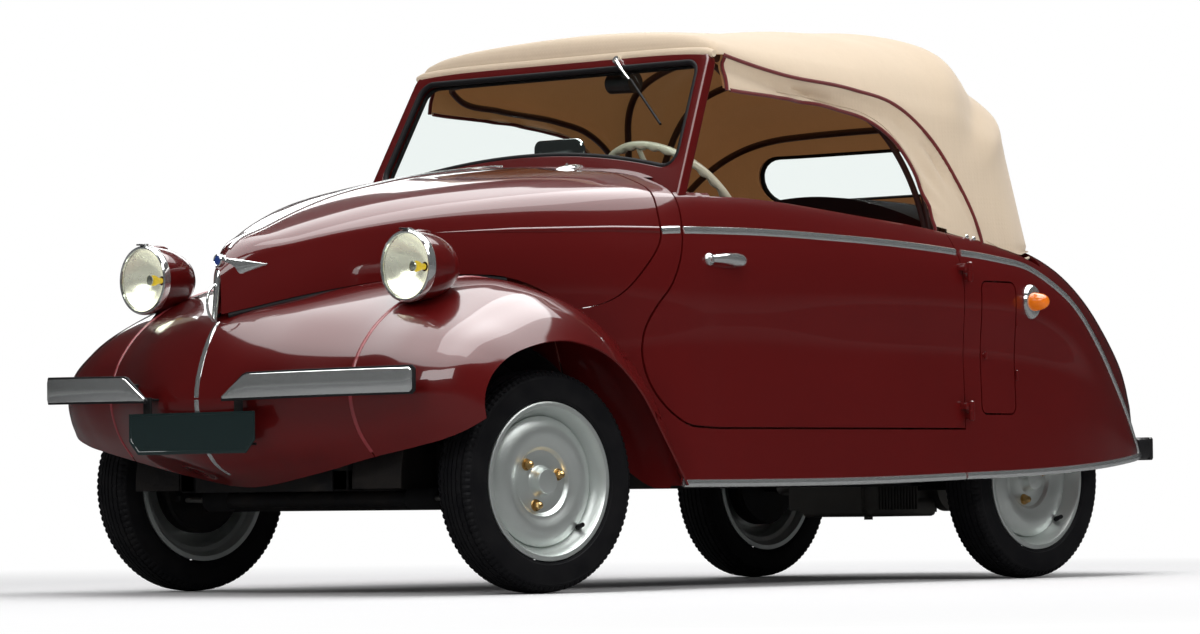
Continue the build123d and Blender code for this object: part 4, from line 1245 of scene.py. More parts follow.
BELT_DOOR = [(503, 832.6), (768, 835), (1020, 830), (1280, 821), (1497, 808)]
BELT_TAIL = [(1518, 806), (1665, 794), (1800, 775), (1900, 736), (2000, 682), (2100, 604),
             (2200, 512), (2300, 408), (2386, 318)]


def crown_line(x_from, x_to, count, lift=0.0):
    x = np.linspace(x_from, x_to, count)
    points = hull_point(x, np.full(count, 0.5))
    points[:, 2] += lift
    return points


BADGE = (-430, 0, 762)


class CAR_OT_trim(bpy.types.Operator):
    """Build the bright strips, the seam welts, the nose badge, the handles and the hinges"""
    bl_idname = "car.trim"
    bl_label = "Trim and hardware"

    def execute(self, context):
        for side, name in SIDES:
            belt_strip(f"belt_strip_cowl_{name}", [(438, 830), (470, 832), (489, 832.5)], side, 10)
            belt_strip(f"belt_strip_door_{name}", BELT_DOOR, side, 80, f"door_{name}")
            belt_strip(f"belt_strip_tail_{name}", BELT_TAIL, side, 90)
            x = np.concatenate([np.linspace(470, 1493, 60), np.linspace(1501, 2540, 70)])
            foot, low = hull_columns(x)[:2]
            path = np.stack([x, side * (foot + 1.5), low + 5], axis=1)
            for end, part in (("front", path[:60]), ("rear", path[60:])):
                piece(f"sill_strip_{end}_{name}", swept(part, 5, sides=12, flat=1.8), "chrome")
            u = np.linspace(0.02, 0.72, 90)
            welt = pontoon_point(np.full(len(u), side * SEAM_Y), u)
            piece(f"fender_welt_{name}", swept(welt, 6.4, sides=10), "welt")
            # A black tube along the gap under the bonnet's lower edge draws a dark line there.
            gap = smooth_line([(-424, 643), *BONNET_LOWER[1:-1]], 50)
            half = np.array([side_at(x_here, z_here) for x_here, z_here in gap])
            line = np.stack([gap[:, 0] + 4, side * np.maximum(half - 6, 2), gap[:, 1] - 7], axis=1)
            piece(f"bonnet_gap_black_tube_{name}", swept(line, 8, sides=10), "trim_rubber")
        for side, name in SIDES:
            x = np.linspace(-60, 431, 70)
            level = np.interp(x, [-60, 120, 320, 431], [822, 829, 833, 832])
            path = np.stack([x, side * (hull_side(x, level) - 1.5), level], axis=1)
            piece(f"bonnet_swage_{name}",
                  swept(path, 5.5, sides=12, flat=1.6, taper=((0, 0.4, 1), (0.1, 0.8, 1))),
                  "paint", "bonnet")
        path = crown_line(-398, 488, 80, 1.5)
        piece("bonnet_centre_strip",
              swept(path, 7, sides=12, flat=0.55, taper=((0, 0.05, 1), (0.75, 1, 1))),
              "chrome", "bonnet")
        u = np.linspace(0.05, 0.405, 70)
        chin = pontoon_point(np.zeros(len(u)), u)
        chin[:, 0] -= 1.5
        flat_strip = swept(chin, 4, sides=12)
        for vert in flat_strip.verts:
            vert.co.y *= 2.5
        piece("nose_centre_strip", flat_strip, "chrome")
        ridge = [(-404, 772), (-420, 756), (-431, 730), (-437, 695), (-442, 655), (-446, 622)]
        line = smooth_line(ridge, 40)
        spear = swept(np.stack([line[:, 0], line[:, 0] * 0, line[:, 1]], axis=1), 8, sides=14,
                      taper=((0, 0.15, 1), (0.8, 1, 0.7)))
        for vert in spear.verts:
            vert.co.y *= 1.15
        piece("nose_spear", spear, "chrome", "bonnet")
        disc = [(0, -6), (9, -5.4), (11.5, -3), (12, 4), (0, 4)]
        ring = [(10.6, -4.6), (12, -6), (14, -4.4), (14.4, 6), (12, 6), (10.6, -4.6)]
        piece("nose_badge", turned(disc, 36, BADGE, "X"), "badge", "bonnet")
        piece("nose_badge_rim", turned(ring, 36, BADGE, "X"), "chrome", "bonnet")
        loop = [(-444, -3, 706), (-462, -5, 694), (-472, -6, 668), (-466, -5, 640), (-448, -3, 624)]
        piece("nose_handle", swept(loop, 3.4, 40, 12), "chrome", "bonnet")
        for side, name in SIDES:
            rows = []
            for share in np.linspace(0, 1, 26):
                x_here = -426 + 70 * share
                z_here = 762 - 9 * share
                high = 22 * (1 - share) ** 1.1 + 1.2
                rows.append((x_here, side_at(x_here, z_here) + 2, z_here, high))
            wing = swept([(x_here, side * y, z) for x_here, y, z, _ in rows], 1, sides=12)
            for vert in wing.verts:
                k = int(np.argmin([abs(vert.co.x - put(r[:3])[0][0]) for r in rows]))
                centre = Vector(put((rows[k][0], side * rows[k][1], rows[k][2]))[0])
                off = vert.co - centre
                lower = 2.1 if off.z < 0 else 0.3
                vert.co = centre + Vector((off.x, off.y * 3.4, off.z * rows[k][3] * lower))
            piece(f"nose_wing_{name}", wing, "chrome", "bonnet")
            drop = turned([(0, -46), (8, -42), (15, -28), (19, -8), (19, 8), (15, 25), (8, 39),
                           (0, 45)], 32, (0, 0, 0), "X")
            bmesh.ops.scale(drop, vec=(1, 1, 0.5), verts=drop.verts,
                            space=Matrix.Translation(-FRONT_AXLE))
            spot = hull_point(np.array([470.0]), np.array([0.5 + side * 0.075]))[0]
            bmesh.ops.rotate(drop, verts=drop.verts, cent=FRONT_AXLE,
                             matrix=Matrix.Rotation(-0.14, 3, "Y") @ Matrix.Rotation(-side * 0.12,
                                                                                     3, "X"))
            bmesh.ops.translate(drop, verts=drop.verts, vec=Vector(spot) / 1000)
            piece(f"scuttle_nozzle_{name}",
                  joined(drop, bar(spot + (-6, 0, 2), spot + (-10, 0, 12), 3.2, 2.4, 14)), "chrome")
            y = side_at(565, 767)
            base = turned([(0, 8), (11, 8), (14, 5), (15, 0), (15, -4), (0, -4)], 32,
                          (572, side * y, 767), "Y", side)
            grip = [(572, side * (y + 12), 768), (600, side * (y + 19), 769),
                    (640, side * (y + 17), 768), (688, side * (y + 9), 765)]
            lever = swept(grip, 11, 60, 20, flat=1.3,
                          taper=((0, 0.25, 0.65, 0.85, 0.95, 1), (0.6, 0.8, 1.1, 1.0, 0.7, 0.3)))
            stem = bar((572, side * (y + 2), 767), (572, side * (y + 14), 768), 8, 7)
            piece(f"door_handle_{name}", joined(base, stem, lever), "chrome", f"door_{name}")
            hinge_x, hinge_y = DOOR_PIN
            for level, z in (("low", 418), ("high", 760)):
                yy = side_at(hinge_x, z)

                def pin(low, high, *radii, z=z, y=side * hinge_y):
                    return bar((hinge_x, y, z + low), (hinge_x, y, z + high), *radii)

                inward = side * (yy - 30)
                moving = joined(pin(1, 22, 7.5), pin(22, 25, 7.5, 4),
                                box((hinge_x - 20, inward, z + 3),
                                    (hinge_x - 1, side * hinge_y, z + 20), 2.5))
                fixed = joined(pin(-22, -1, 7.5), pin(-25, -22, 4, 7.5),
                               box((hinge_x + 1, inward, z - 20),
                                   (hinge_x + 14, side * hinge_y, z - 3), 2.5))
                piece(f"hinge_{level}_leaf_{name}", moving, "paint", f"door_{name}")
                piece(f"hinge_{level}_knuckle_{name}", fixed, "paint")
            y = side_at(1776, 692)
            base = turned([(0, 10), (24, 10), (29, 8), (32, 3), (32.5, -8), (0, -8)], 48,
                          (0, 0, 0), "Y", side)
            bmesh.ops.scale(base, vec=(0.98, 1, 1.34), verts=base.verts,
                            space=Matrix.Translation(-FRONT_AXLE))
            lamp = [(0, 8), (23, 8), (23.5, 14), (22, 24), (18.5, 38), (14, 47), (8, 52), (0, 53)]
            cone = turned(lamp, 48, (0, 0, 0), "Y", side)
            for bm in (base, cone):
                bmesh.ops.translate(bm, verts=bm.verts, vec=(1.776, side * (y + 1) / 1000, 0.692))
            piece(f"indicator_base_{name}", base, "chrome")
            piece(f"indicator_lens_{name}", cone, "orange", replaces=[f"indicator_{name}"])
        y = -side_at(1600, 552)
        catch = joined(bar((1588, y + 3, 556), (1588, y - 5, 556), 7, 6, 20),
                       box((1584, y - 9, 547), (1592, y - 3, 565), 1.5))
        piece("side_lid_catch", catch, "paint", "side_hatch")
        for z in (508, 642):
            ends = [(*LID_PIN, z + up) for up in (-13, -11, 11, 13)]
            pin = joined(bar(*ends[1:3], 3.8), bar(*ends[:2], 2, 3.8), bar(*ends[2:], 3.8, 2))
            piece(f"side_lid_hinge_{z}", pin, "paint", "side_hatch")
        return {"FINISHED"}


# ---------------------------------------------------------------- soft top
# (x, seam height, crown height) of the roof, then (height, half width, rear x) of the walls
ROOF = np.array([(690, 1286, 1318), (722, 1286, 1332), (800, 1272, 1346), (1000, 1248, 1362),
                 (1180, 1227, 1372), (1350, 1214, 1384), (1500, 1200, 1386), (1640, 1190, 1378),
                 (1720, 1166, 1334), (1780, 1138, 1280), (1850, 1100, 1214), (1910, 1058, 1158),
                 (2060, 930, 1004)], float)
WALL_LOW, WALL_HIGH, WALL_CORNER = (790, 548, 1982), (1430, 478, 1838), 235
FRONT_HUB, REAR_HUB = (762.0, 1140.0), (1450.0, 832.0)
HUB_LINE = ((762, 1140), (936, 1136), (1156, 1116), (1260, 1086), (1342, 1026), (1398, 946),
            (1443, 850), (1450, 832))
HEADER_X = 704.0
FOOT_CENTRE = 1660.0  # x from which the rear foot is searched outwards
TOP_OPENING = [(676, 1186), (712, 1182), (746, 1178), (936, 1168), (1156, 1149), (1260, 1129),
               (1342, 1084), (1398, 1025), (1443, 952), (1468, 872), (1474, 842)]
CANT_RAIL = [(746, 1258), (800, 1214), (946, 1192), (1166, 1173), (1270, 1152), (1352, 1108),
             (1408, 1049), (1453, 974), (1480, 896), (1490, 846)]
REAR_WINDOW = (-404, 404, 985, 1108, 58)  # y from, y to, z from, z to, corner radius
TOP_EDGE = [(1474, 842), (1560, 838), (1640, 833), (1705, 812), (1784, 797), (1893, 809),
            (2010, 816)]
STUD = [(0, 3.5), (3.2, 3.2), (5.4, 1.8), (6.5, 0), (6.5, -2), (0, -2)]
REAR_BULGES = (0, 3, 11, 0, -12, 0, 14, 5, 0)
ROOF_SEAM = [(741, 1261), (948, 1224), (1206, 1201), (1356, 1171), (1469, 1102), (1564, 994),
             (1628, 884), (1643, 838)]


def top_field(points, inset):
    """Above zero outside the soft top, below it inside."""
    x, y, z = points[..., 0], points[..., 1], points[..., 2]
    share = (z - WALL_LOW[0]) / (WALL_HIGH[0] - WALL_LOW[0])
    half = WALL_LOW[1] + (WALL_HIGH[1] - WALL_LOW[1]) * share - WALL_CORNER
    rear = WALL_LOW[2] + (WALL_HIGH[2] - WALL_LOW[2]) * share - WALL_CORNER
    out_y, out_x = np.abs(y) - half, x - rear
    wall = np.hypot(np.maximum(out_y, 0),
                    np.maximum(out_x, 0)) + np.minimum(np.maximum(out_y, out_x), 0) - WALL_CORNER

    def roof_height(k):
        smooth = through(ROOF[:, 0], ROOF[:, k:k + 1], x.ravel())[:, 0]
        return 0.5 * np.interp(x, ROOF[:, 0], ROOF[:, k]) + 0.5 * smooth.reshape(x.shape)

    side, crown = roof_height(1), roof_height(2)
    t = np.abs(y) / 495
    fall = np.where(t < 1, 0.53 * t**2 + 0.47 * np.minimum(t, 1)**10, 1 + (t - 1) * 3)
    roof = (z - crown + (crown - side) * fall) * 0.93
    front = HEADER_X - x

    def softer(p, q, reach):
        near = np.maximum(reach - np.abs(p - q), 0) / reach
        return np.maximum(p, q) + near * near * reach / 4

    field = softer(wall, roof, np.interp(x, (740, 1000, 1500, 1750), (16, 26, 40, 70)))
    return softer(field, front, 26.0) + inset


def top_surface(place, far, inset, near=0.0, rounds=26):
    """How far each ray place(reach) runs inside the soft top before it leaves it."""
    low, high = np.full(len(far), float(near)), np.array(far, float)
    for _ in range(rounds):
        middle = (low + high) / 2
        inside = top_field(place(middle), inset) < 0
        low, high = np.where(inside, middle, low), np.where(inside, high, middle)
    return low


def top_rows(count):
    """Rows from the front lip to the rear foot: a hub (x, z) and a direction in x and z."""
    rows = []
    for k in range(count):
        t = k / (count - 1)
        if t < 0.16:
            turn = math.radians(178 - 88 * t / 0.16)
            rows.append((*FRONT_HUB, math.cos(turn), math.sin(turn)))
        elif t < 0.56:
            part = (t - 0.16) / 0.40
            x = FRONT_HUB[0] + (REAR_HUB[0] - FRONT_HUB[0]) * part
            rows.append((x, np.interp(x, *zip(*HUB_LINE)), 0.0, 1.0))
        else:
            turn = math.radians(90 - 100 * (t - 0.56) / 0.44)
            rows.append((*REAR_HUB, math.cos(turn), math.sin(turn)))
    return np.array(rows)


def top_line(row, inset, count, spread=90.0):
    """Evenly spread points of one row over the soft top, from its left side to its right."""
    angle = np.radians(np.linspace(-spread, spread, 361))
    hub = np.array([row[0], 0, row[1]])
    ray = np.stack([row[2] * np.cos(angle), np.sin(angle), row[3] * np.cos(angle)], axis=1)
    reach = top_surface(lambda middle: hub + ray * middle[:, None], np.full(len(angle), 1500.0),
                        inset)
    points = hub + ray * reach[:, None]
    knots = chord_knots(points)
    even = np.linspace(0, knots[-1], count)
    return np.stack([np.interp(even, knots, points[:, k]) for k in range(3)], axis=1)


def fanned(run, drop, height, count, phase, start, peak):
    """Folds spreading like rays from a point; start and peak are a distance and a width."""
    reach, fan = np.hypot(run, drop), np.arctan2(drop, run)
    grow = np.clip((reach - start[0]) / start[1], 0, 1)
    fade = np.exp(-((reach - peak[0]) / peak[1]) ** 2)
    return height * (1 + np.sin(fan * count - phase)) * grow * grow * fade


def draped(points):
    """Moves towards the cabin: tuck below the seam, folds, sag, and bulges over the rear bows."""
    x, y, z = points[:, 0], points[:, 1], points[:, 2]
    seam = np.interp(x, [p[0] for p in ROOF_SEAM], [p[1] for p in ROOF_SEAM])
    below = seam - z
    flank = np.clip(below / 18, 0, 1) * (np.abs(y) > 380)
    flank = flank * flank * (3 - 2 * flank)
    tuck = (7.0 + 18.0 * np.exp(-((below - 26) / 21) ** 2)) * np.exp(-((x - 1080) / 380) ** 2)
    folds = fanned(x - 726, 1288 - z, 7.0, 52, 0.6, (110, 220), (360, 240))
    gathers = fanned(1600 - x, z - 850, 4.5, 24, 0.0, (40, 160), (210, 150))
    sag = 6.0 * np.sin(np.pi * np.clip((x - 735) / 680, 0, 1)) ** 2 * np.clip(1 - np.abs(y) / 470,
                                                                              0, 1) ** 0.5
    turn = np.degrees(np.arctan2(z - REAR_HUB[1], x - REAR_HUB[0]))
    bulge = through([30, 36, 42, 48, 54, 61, 68, 80, 90], np.array(REAR_BULGES)[:, None],
                    np.clip(turn, 30, 90))[:, 0]
    far = np.clip((np.hypot(x - REAR_HUB[0], z - REAR_HUB[1]) - 250) / 170, 0, 1)
    bulge = bulge * far * far * (3 - 2 * far)
    rear = 3.0 * np.sin(y / 38.0 + np.sin(y / 90)) * np.clip((x - 1800) / 90, 0,
                                                             1) * np.exp(-((z - 850) / 90) ** 2)
    return (folds + gathers + tuck) * flank + sag + rear - bulge


def drawn_in(points, hub):
    """Points of one row moved towards their hub (x, z) by the drape."""
    away = points - np.array([hub[0], 0, hub[1]])
    away /= np.maximum(np.linalg.norm(away, axis=1), 1e-6)[:, None]
    return points - away * draped(points)[:, None]


def top_shell(inset, thick, rows, columns, folded=True):
    """A closed sheet of cloth over the bows, its outer face drawn in by inset."""
    layers = []
    hubs = top_rows(rows)
    for depth in (inset, inset + thick):
        net = np.stack([top_line(row, depth, columns) for row in hubs])
        if folded:
            net = np.stack([drawn_in(line, row) for line, row in zip(net, hubs)])
        layers.append(net)
    bm = bmesh.new()
    verts = [[[bm.verts.new(co) for co in put(line)] for line in net] for net in layers]
    outer, inner = verts
    for i in range(rows - 1):
        for j in range(columns - 1):
            bm.faces.new((outer[i][j], outer[i][j + 1], outer[i + 1][j + 1], outer[i + 1][j]))
            bm.faces.new((inner[i][j], inner[i + 1][j], inner[i + 1][j + 1], inner[i][j + 1]))
        for j in (0, columns - 1):
            bm.faces.new((outer[i][j], outer[i + 1][j], inner[i + 1][j], inner[i][j]))
    for i in (0, rows - 1):
        for j in range(columns - 1):
            bm.faces.new((outer[i][j], inner[i][j], inner[i][j + 1], outer[i][j + 1]))
    bmesh.ops.remove_doubles(bm, verts=bm.verts, dist=4e-6)
    bmesh.ops.dissolve_degenerate(bm, dist=1e-6, edges=bm.edges)
    return outwards(bm)


def on_top_side(x, z, side, inset=0.0, folded=True):
    """The soft top's side surface at x and z."""
    x, z = np.atleast_1d(x).astype(float), np.atleast_1d(z).astype(float)
    reach = top_surface(lambda y: np.stack([x, y, z], axis=1), np.full(len(x), 800.0), inset)
    points = np.stack([x, reach, z], axis=1)
    if folded:
        points[:, 1] -= draped(points)
    points[:, 1] *= side
    return points


def top_foot(z_line, inset):
    """The line round the soft top's foot, from the left side over the rear to the right."""
    angle = np.linspace(-math.pi / 2, math.pi / 2, 160)
    z = np.full(len(angle), 810.0)

    def place(reach):
        return np.stack([FOOT_CENTRE + reach * np.cos(angle), reach * np.sin(angle), z], axis=1)

    for _ in range(6):
        reach = top_surface(place, np.full(len(angle), 900.0), inset, rounds=24)
        z = np.interp(place(reach)[:, 0], *zip(*z_line))
    return place(reach)


class CAR_OT_soft_top(bpy.types.Operator):
    """Sew the soft top with its lining, bows, piping, hem, studs and rear window"""
    bl_idname = "car.soft_top"
    bl_label = "Soft top"

    def execute(self, context):
        rows, columns = ((170, 200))
        opening = smooth_line(TOP_OPENING, 60)
        edge = smooth_line(TOP_EDGE, 30)
        below = [(600, 1188), *map(tuple, opening), *map(tuple, edge[1:]), (2200, 816),
                 (2200, 500), (600, 500)]
        window = rounded_outline(*REAR_WINDOW)

        def window_block(grow):
            return slab(put([(1790, y, z) for y, z in grown(window, grow)]), (0.4, 0, 0))

        def body_room(gap):
            """The body's space, with more room over the doors than behind them."""
            over_doors = carved(hull_solid(-6, 0, 120, 60),
                                box((500, -FAR, 600), (1513, FAR, 1150)), keep="INTERSECT")
            return hull_solid(gap, 0, 120, 60), over_doors, box((600, -600, 1000), (743, 600, 1262))

        cloth = piece("hood_cloth", carved(top_shell(1.0, 2.5, rows, columns),
                                           prism(below, -FAR, FAR), window_block(0),
                                           *body_room(-0.6)), "canvas", replaces=["soft_top"],
                      crease=60)
        lining = carved(top_shell(11.0, 1.6, rows * 2 // 3, columns * 2 // 3),
                        prism([(x + 5, z + 4) for x, z in below], -FAR, FAR), window_block(2),
                        *body_room(-2))
        inside = piece("hood_lining", lining, "lining", crease=60)

        bows = []
        for turn in (98, 68, 42):
            row = (1490.0, 832.0, math.cos(math.radians(turn)), math.sin(math.radians(turn)))
            bows.append(swept(top_line(row, 33, 130, 88), 9, sides=12))
        for side, _ in SIDES:
            rail = smooth_line(CANT_RAIL, 80)
            bows.append(swept(on_top_side(rail[:, 0], rail[:, 1], side, 50, False), 8, sides=10))
        roll = [on_screen(y, 350 - 12 * abs(y / 500) ** 6, 6) for y in np.linspace(-498, 498, 90)]
        piece("hood_header_roll",
              swept(roll, 13, sides=16, taper=((0, 0.02, 0.98, 1), (0.6, 1, 1, 0.6))), "canvas")
        header = [(742, -474, 1256), (742, -300, 1292), (742, 0, 1304), (742, 300, 1292),
                  (742, 474, 1256)]
        bows.append(swept(header, 12, 60, 12))
        piece("hood_bows", joined(*bows), "bow_enamel")

        for side, name in SIDES:
            seam = smooth_line(ROOF_SEAM, 110)
            points = on_top_side(seam[:, 0], seam[:, 1], side, 0.5)
            points[:, 1] = side * np.convolve(np.pad(np.abs(points[:, 1]), 3, "edge"),
                                              np.ones(7) / 7, "valid")
            piece(f"hood_piping_{name}", swept(points, 4.6, sides=10), "piping")
            rim = opening[(opening[:, 0] > 744)]
            points = on_top_side(rim[:, 0], rim[:, 1] + 1, side, 1.5)
            rise = np.linspace(1256, rim[0, 1], 14)
            front = on_top_side(np.full(14, 745.0), rise, side, 1.5)
            piece(f"hood_binding_{name}",
                  joined(swept(points, 4.6, sides=10), swept(front, 4.6, sides=10)), "piping")
            stitch = smooth_line([(x, z + 15) for x, z in TOP_OPENING[3:-1]], 90)
            points = on_top_side(stitch[:, 0], stitch[:, 1], side, 0.4)
            piece(f"hood_stitching_{name}", swept(points, 1.3, sides=6), "canvas")
            studs = []
            for x, z in ((1586, 852), (1612, 848)):
                spot = on_top_side(x, z, side)[0]
                studs.append(turned(STUD, 20, spot, "Y", side))
            piece(f"hood_studs_{name}", joined(*studs), "chrome")
        foot = top_foot([(x, z + 17) for x, z in TOP_EDGE], 0.4)
        piece("hood_hem_stitching", swept(foot, 1.4, sides=6), "canvas")
        foot = top_foot([(x, z + 1.5) for x, z in TOP_EDGE], 2.0)
        piece("hood_hem", swept(foot, 3.4, sides=8), "canvas")

        ys, zs = np.array(dense([tuple(p) for p in window], 12)).T
        reach = top_surface(lambda x: np.stack([x, ys, zs], axis=1), np.full(len(ys), 2100.0),
                            1.0, 1700.0, 24)
        loop = np.stack([reach, ys, zs], axis=1)
        frame_line = np.vstack([loop, loop[:1]])
        piece("rear_window_frame", swept(frame_line, 6.5, sides=10, closed=True), "trim_rubber")
        pane = carved(top_shell(3.5, 2.0, rows * 2 // 3, columns * 2 // 3, False), window_block(1),
                      keep="INTERSECT")
        piece("rear_window_pane", pane, "glass", replaces=["rear_window"], crease=60)
        return {"FINISHED"}


# ---------------------------------------------------------------- cabin
def puffed(bm, voxel, pressure, cap):
    """A padded form: remeshed, blown up a little as cloth, held to a largest move, and smoothed."""
    obj = to_object("pad", bm)
    remesh = obj.modifiers.new("remesh", "REMESH")
    remesh.mode, remesh.voxel_size = "VOXEL", voxel / 1000

    def baked():
        mesh = evaluated_mesh(obj)
        old, obj.data = obj.data, mesh
        obj.modifiers.clear()
        bpy.data.meshes.remove(old)

    baked()
    before = np.array([v.co[:] for v in obj.data.vertices])
    cloth = obj.modifiers.new("cloth", "CLOTH")
    cloth.settings.use_pressure = True
    cloth.settings.uniform_pressure_force = pressure
    cloth.settings.effector_weights.gravity = 0
    for step in range(1, 21):
        bpy.context.scene.frame_set(step)
    baked()
    bpy.context.scene.frame_set(1)
    after = np.array([v.co[:] for v in obj.data.vertices])
    move = after - before
    size = np.maximum(np.linalg.norm(move, axis=1), 1e-9)
    move *= (np.minimum(size, cap / 1000) / size)[:, None]
    for vert, co in zip(obj.data.vertices, before + move):
        vert.co = co
    out = bmesh.new()
    out.from_mesh(obj.data)
    mesh = obj.data
    bpy.data.objects.remove(obj)
    bpy.data.meshes.remove(mesh)
    for _ in range(4):
        bmesh.ops.smooth_vert(out, verts=out.verts, factor=0.5, use_axis_x=True, use_axis_y=True,
                              use_axis_z=True)
    return out


def flutes_in(bm, along, low, high, pitch, depth, facing):
    """Sewn channels across a padded form where its faces look towards `facing`."""
    look = Vector(facing)
    for vert in bm.verts:
        share = max(0.0, vert.normal.dot(look))
        place = vert.co[along] * 1000
        if low < place < high:
            wave = abs(math.sin(math.pi * (place - low) / pitch))
            ends = min(1.0, (place - low) / pitch, (high - place) / pitch)
            vert.co -= vert.normal * depth / 1000 * (1 - wave) ** 3 * share * ends
    return bm


DIALS = ((-120, 46), (10, 30), (-398, 30))  # (y, radius)
DASH_X, DIAL_Z = 701, 906
STEERING_CENTRE, STEERING_LEAN, STEERING_RADIUS = (800.0, -270.0, 910.0), 40, 190


class CAR_OT_cabin(bpy.types.Operator):
    """Fit the bench, the door cards, the carpet, the dashboard, the wheel and the rear deck"""
    bl_idname = "car.cabin"
    bl_label = "Cabin"

    def execute(self, context):
        base = box((1008, -462, 306), (1466, 462, 505), 34, 5)
        seat = flutes_in(puffed(base, 14, 4.0, 14), 1, -440, 440, 110, 6, (0, 0, 1))
        piece("bench_cushion", seat, "hide", replaces=["seat_cushion"])
        squab = prism([(1400, 530), (1470, 530), (1546, 800), (1534, 824), (1494, 832),
                       (1468, 800)], -460, 460)
        edges = [e for e in squab.edges if e.is_manifold and e.calc_face_angle(0) > 0.3]
        rounded(squab, edges, 14, 3)
        back = flutes_in(puffed(squab, 12, 4.0, 10), 1, -440, 440, 110, 5, (-0.95, 0, 0.3))
        piece("bench_back", back, "hide", replaces=["seat_back"])
        welts = []
        for z in (330, 490):
            ring = rounded_outline(1004, 1470, -468, 468, 42)
            line = [(x, y, z) for x, y in dense([tuple(p) for p in ring], 30)]
            welts.append(swept([*line, line[0]], 3.4, sides=8, closed=True))
        piece("bench_welts", joined(*welts), "piping")
        piece("bench_plinth", box((1040, -440, 297.5), (1440, 440, 312), 3), "underseal")

        for side, name in SIDES:
            def lined(u, v, side=side):
                x, z = 640 + 790 * u, 396 + 404 * v
                return put(np.stack([x, side * (hull_side(x, z) - 43), z], axis=1))

            card = walled(grid(32, 12, lined), 4, (0, -side, 0))
            piece(f"door_card_{name}", card, "hide", f"door_{name}", crease=50)
            pull = [(760, side * 548, 640), (770, side * 530, 650), (900, side * 528, 652),
                    (910, side * 546, 642)]
            piece(f"door_pull_{name}", swept(pull, 6, 30, 10), "hide", f"door_{name}")
            winder = joined(turned([(0, 0), (14, 0), (13, 8), (0, 10)], 24, (700, side * 556, 600),
                                   "Y", -side), bar((700, side * 550, 600), (738, side * 540, 588),
                                                    5, 4), bar((738, side * 546, 588),
                                                               (738, side * 522, 588), 8, 9))
            piece(f"door_winder_{name}", winder, "chrome", f"door_{name}")
            rail = smooth_line([(560, 842), (768, 845), (1020, 840), (1280, 831), (1490, 818)], 50)
            half = hull_side(rail[:, 0], rail[:, 1] - 12) - 24
            points = np.stack([rail[:, 0], side * half, rail[:, 1] - 2], axis=1)
            piece(f"door_top_roll_{name}", swept(points, 15, sides=14, flat=0.55), "hide",
                  f"door_{name}")

        piece("cabin_carpet", box((476, -508, 297.4), (1004, 508, 303), 2), "carpet")
        tunnel = prism([(470, 303), (470, 352), (1004, 330), (1004, 303)], -62, 62)
        top = [e for e in tunnel.edges if all(v.co.z > 0.32 for v in e.verts)]
        rounded(tunnel, top, 22, 4)
        piece("cabin_tunnel", tunnel, "carpet")

        def shelf_place(u, v):
            x = 1592 + 335 * u
            reach = np.abs(on_top_side(x, np.full(len(x), 900.0), 1, 18)[:, 1])
            y = (v - 0.5) * 2 * reach
            return put(np.stack([x, y, 976 - 5.3e-4 * y**2 - 4 * u], axis=1))

        def front_place(u, v):
            y = (u - 0.5) * 2 * 520
            top = 974 - 5.3e-4 * y**2
            return put(np.stack([np.full(len(y), 1590.0), y, 640 + (top - 640) * v], axis=1))

        # The deck and its front take the darkened copy of the body paint: painted shade.
        piece("rear_deck", walled(grid(14, 40, shelf_place), 5, (0, 0, 1)), "dark_paint")
        piece("rear_deck_front", walled(grid(40, 6, front_place), 5, (-1, 0, 0)), "dark_paint")

        rims, faces, knobs = [], [], []
        for y, radius in DIALS:
            inner, outer = radius - 4, radius + 4
            rim = [(inner, 6), (radius, 8), (outer, 5), (outer, -4), (inner, -4), (inner, 6)]
            face = [(0, 2), (radius - 3, 2), (radius - 3, -3), (0, -3)]
            rims.append(turned(rim, 48, (DASH_X, y, DIAL_Z), "X", -1))
            faces.append(turned(face, 40, (DASH_X, y, DIAL_Z), "X", -1))
        piece("dial_rims", joined(*rims), "chrome")
        piece("dial_faces", joined(*faces), "ivory")
        for y in (72, 108, 144, 180):
            knobs.append(bar((699, y, 900), (716, y, 900), 3.5))
            knobs.append(turned([(0, 10), (8, 9), (11, 4), (10, 0), (0, 0)], 24,
                                (716, y, 900), "X", -1))
        piece("dash_knobs", joined(*knobs), "ivory")
        glove = box((698, 240, 868), (703, 470, 940), 2)
        button = turned([(0, 7), (7, 6), (8, 0), (0, 0)], 20, (703, 355, 926), "X", -1)
        piece("glove_lid", joined(glove, button), "dark_paint")

        centre, lean = np.array(STEERING_CENTRE), math.radians(STEERING_LEAN)
        axis = np.array([math.cos(lean), 0, math.sin(lean)])
        across, upward = np.array([0, 1.0, 0]), np.array([-math.sin(lean), 0, math.cos(lean)])

        def wheel_place(u, v):
            turn, round_ = u * 2 * np.pi, v * 2 * np.pi
            grip = 1 + 0.22 * np.clip(-np.cos(round_) * 0.9 - np.sin(round_) * 0.5, 0,
                                      1) * np.cos(turn * 34)
            size = 10.5 * grip
            out = across * np.cos(turn)[:, None] + upward * np.sin(turn)[:, None]
            away = STEERING_RADIUS + size * np.cos(round_)
            return put(centre + out * away[:, None] + axis * (size * np.sin(round_))[:, None])

